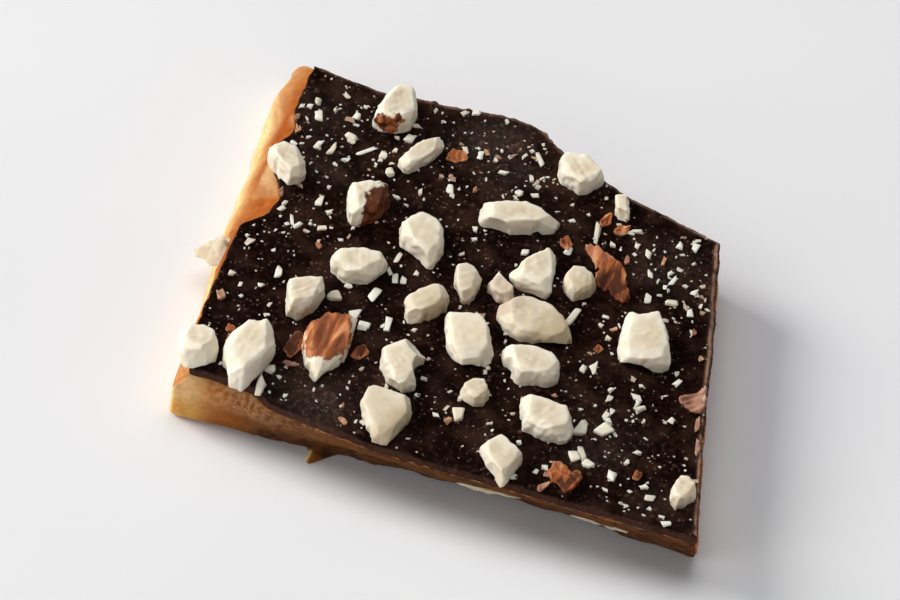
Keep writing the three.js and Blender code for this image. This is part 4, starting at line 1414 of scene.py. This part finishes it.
def add_bits(context, name, flat, sizes, turns, skin, cells, seed):
    """One piece of many bits on the chocolate, each sunk by a share of its height."""
    middle_depth = (SUNK_SHARE - 0.5) * sizes[:, 2]
    places = on_surface(flat, context.scene.toffee_chocolate, middle_depth)
    points, faces, each = bit_shapes(places, sizes, turns, cells, seed)
    rng = np.random.default_rng(seed + 1)
    tan = 0.5 * rng.random(len(flat)) ** 2
    tone = rng.uniform(0.2, 0.8, len(flat))
    skin, tan, tone = (np.repeat(values, each) for values in (skin, tan, tone))
    marks = almond_marks(len(points), skin, tan=tan, tone=tone)
    add_piece(name, points, faces, almond_finish(context), (), marks, cells > 1)


class TOFFEE_OT_bits(bpy.types.Operator):
    """Place the small almond bits"""

    bl_idname = "toffee.bits"
    bl_label = "Almond Bits"

    def execute(self, context):
        flat, sizes, turns = placed_bits(BITS, seed=61)
        skin = np.zeros(len(flat))
        add_bits(context, "almond_bits", flat, sizes, turns, skin, BIT_CELLS, seed=62)
        return {"FINISHED"}


class TOFFEE_OT_flakes(bpy.types.Operator):
    """Place the small flakes of almond skin"""

    bl_idname = "toffee.flakes"
    bl_label = "Skin Flakes"

    def execute(self, context):
        chocolate = context.scene.toffee_chocolate
        rng = np.random.default_rng(64)
        points, faces, tones = [], [], []
        for x, y, width, length, turn, dark in SKIN_BITS:
            outline = RIM_CORNER + (x, y) + jagged_outline(width, length, math.radians(turn), rng)
            flake, sides, out = flake_shape(outline, LOOSE_THICKNESS, LOOSE_BEND, rng.integers(1000))
            flake[:, 2] += on_surface(RIM_CORNER + np.array([[x, y]]), chocolate, LOOSE_DEPTH)[0, 2]
            faces += [[corner + FLAKE_POINTS * len(points) for corner in side] for side in sides]
            points.append(flake)
            tones.append(dark * (1 - 0.6 * smooth_step(0.85, 1.0, out)))
        marks = almond_marks(FLAKE_POINTS * len(points), 1.0, tone=np.concatenate(tones))
        points, material = np.concatenate(points), almond_finish(context)
        add_piece("skin_flakes", points, faces, material, (), marks)
        return {"FINISHED"}


class TOFFEE_OT_specks(bpy.types.Operator):
    """Scatter the fine almond specks"""

    bl_idname = "toffee.specks"
    bl_label = "Almond Specks"

    def execute(self, context):
        flat = free_places(context.scene.toffee_almonds.specks, seed=71)
        rng = np.random.default_rng(72)
        width = SPECK_WIDTH + SPECK_SPREAD * rng.random(len(flat)) ** 2.4
        length, height = width * rng.uniform(1.0, 2.0, len(flat)), width * SPECK_FLATNESS
        sizes = np.column_stack([width, length, height])
        turns = rng.uniform(0, 2 * math.pi, len(flat))
        skin = smooth_step(0.6, 1.1, rng.random(len(flat)))
        add_bits(context, "almond_specks", flat, sizes, turns, skin, SPECK_CELLS, seed=73)
        return {"FINISHED"}


# ---- Stage ----

# The floor and its round wall, in metres.
FLOOR_RINGS = (0.4, 0.8, 1.2)
FLOOR_COLUMNS = 96
FLOOR_RADIUS = 1.5
WALL_BEND = 0.5
WALL_HEIGHT = 0.9
FLOOR_COLOURS = ((0.80, 0.80, 0.82), (0.83, 0.83, 0.84))
# The camera: its turn, rise and roll in degrees, its distance in metres, its lens and its aim in
# millimetres.
VIEW_TURN = 10.6
VIEW_RISE = 45.0
VIEW_ROLL = 10.4
VIEW_DISTANCE = 1.0
LENS = 434.0
AIM = (-3.65, 1.32, 2.4)
# The lights: name, place and side of the square in metres, power in watts, colour and the angle over
# which each spreads, in degrees.
LIGHTS = (
    ("key", (-0.85, 0.0, 0.55), 0.50, 1.6, (1.0, 0.98, 0.95), 70),
    ("top", (-0.10, 0.10, 1.10), 0.70, 4.2, (0.98, 0.99, 1.0), 180),
    ("front", (-0.55, -0.80, 0.50), 0.60, 2.6, (1.0, 0.98, 0.96), 180),
    ("fill", (0.75, -0.65, 0.45), 0.60, 0.3, (0.95, 0.97, 1.0), 180),
)
WORLD_LIGHT = 0.15
WORLD_COLOUR = (0.95, 0.97, 1.0, 1.0)


def stage_material():
    """A plain pale matt floor with a very faint unevenness."""
    finish = Finish("Pale floor")
    cloud = finish.noise(60.0, 2).between(0.3, 0.7)
    colour = finish.mix(FLOOR_COLOURS[0], (FLOOR_COLOURS[1], cloud))
    return finish.finished(Base_Color=colour, Roughness=0.75, Specular_IOR_Level=0.2)


def add_stage():
    """The floor and its round wall: a profile turned about the vertical, flat, then a quarter circle
    up, then upright."""
    bend = np.linspace(0, math.pi / 2, 9)
    curve = FLOOR_RADIUS + WALL_BEND * np.sin(bend)
    radii = np.concatenate([FLOOR_RINGS, curve, curve[-1:]])
    heights = np.concatenate([[0, 0, 0], WALL_BEND * (1 - np.cos(bend)), [WALL_HEIGHT]])
    angles = np.linspace(0, 2 * math.pi, FLOOR_COLUMNS, endpoint=False)
    x, y = radii[:, None] * np.cos(angles), radii[:, None] * np.sin(angles)
    points = np.stack([x, y, np.broadcast_to(heights[:, None], x.shape)], axis=-1).reshape(-1, 3)
    points = np.concatenate([points, [[0, 0, 0]]])
    faces = [face[::-1] for face in ring_faces(len(radii), FLOOR_COLUMNS)]
    faces += fan_faces(len(points) - 1, 0, FLOOR_COLUMNS, True)
    mesh = bpy.data.meshes.new("floor")
    mesh.from_pydata(points.tolist(), [], faces)
    mesh.polygons.foreach_set("use_smooth", np.ones(len(mesh.polygons), dtype=bool))
    mesh.materials.append(stage_material())
    floor = bpy.data.objects.new("floor", mesh)
    bpy.context.scene.collection.objects.link(floor)


def add_light(name, place, side, power, colour, spread):
    """A square area light that faces the piece, with the angle over which it spreads."""
    data = bpy.data.lights.new(name, "AREA")
    data.size = side
    data.energy = power
    data.color = colour
    data.spread = math.radians(spread)
    light = bpy.data.objects.new(name, data)
    light.location = place
    light.rotation_euler = (-Vector(place)).to_track_quat("-Z", "Y").to_euler()
    bpy.context.scene.collection.objects.link(light)


def add_camera():
    """The camera, looking at the piece from its turn and rise, and rolled about its line of sight."""
    turn, rise = math.radians(VIEW_TURN), math.radians(VIEW_RISE)
    back = Vector((math.sin(turn) * math.cos(rise), -math.cos(turn) * math.cos(rise), math.sin(rise)))
    aim = Vector(AIM) * MM
    data = bpy.data.cameras.new("camera")
    data.lens = LENS
    data.clip_start = 0.01
    camera = bpy.data.objects.new("camera", data)
    facing = (-back).to_track_quat("-Z", "Y").to_matrix().to_4x4()
    roll = Matrix.Rotation(math.radians(VIEW_ROLL), 4, "Z")
    camera.matrix_world = Matrix.Translation(aim + back * VIEW_DISTANCE) @ facing @ roll
    bpy.context.scene.collection.objects.link(camera)
    bpy.context.scene.camera = camera


class TOFFEE_OT_stage(bpy.types.Operator):
    """Set up the floor, the lights, the sky and the camera"""

    bl_idname = "toffee.stage"
    bl_label = "Stage"

    def execute(self, context):
        add_stage()
        for light in LIGHTS:
            add_light(*light)
        world = bpy.data.worlds.new("studio")
        world.use_nodes = True
        background = world.node_tree.nodes["Background"]
        background.inputs["Color"].default_value = WORLD_COLOUR
        background.inputs["Strength"].default_value = WORLD_LIGHT
        context.scene.world = world
        context.scene.view_settings.view_transform = "Standard"
        add_camera()
        return {"FINISHED"}


OPERATORS = (
    TOFFEE_OT_slab, TOFFEE_OT_chocolate, TOFFEE_OT_almonds, TOFFEE_OT_slivers, TOFFEE_OT_bits,
    TOFFEE_OT_flakes, TOFFEE_OT_specks, TOFFEE_OT_stage,
)


class TOFFEE_PT_panel(bpy.types.Panel):
    """The steps that build the toffee piece, with their settings"""

    bl_idname = "TOFFEE_PT_panel"
    bl_label = "English Toffee"
    bl_space_type = "VIEW_3D"
    bl_region_type = "UI"
    bl_category = "Toffee"

    def draw(self, context):
        scene = context.scene
        for settings in (scene.toffee_slab, scene.toffee_chocolate, scene.toffee_almonds):
            column = self.layout.column()
            for name in settings.__annotations__:
                column.prop(settings, name)
        for operator in OPERATORS:
            self.layout.operator(operator.bl_idname)


CLASSES = (ToffeeSettings, ChocolateSettings, AlmondSettings, *OPERATORS, TOFFEE_PT_panel)


def register():
    """Register the classes and keep the settings on the scene."""
    for each in CLASSES:
        bpy.utils.register_class(each)
    bpy.types.Scene.toffee_slab = PointerProperty(type=ToffeeSettings)
    bpy.types.Scene.toffee_chocolate = PointerProperty(type=ChocolateSettings)
    bpy.types.Scene.toffee_almonds = PointerProperty(type=AlmondSettings)


def unregister():
    """Take the settings and the classes away again."""
    del bpy.types.Scene.toffee_almonds
    del bpy.types.Scene.toffee_chocolate
    del bpy.types.Scene.toffee_slab
    for each in reversed(CLASSES):
        bpy.utils.unregister_class(each)


def main():
    """Build the whole piece and its stage."""
    register()
    bpy.ops.toffee.stage()
    bpy.ops.toffee.slab()
    bpy.ops.toffee.chocolate()
    bpy.ops.toffee.almonds()
    bpy.ops.toffee.slivers()
    bpy.ops.toffee.bits()
    bpy.ops.toffee.flakes()
    bpy.ops.toffee.specks()


if __name__ == "__main__":
    main()
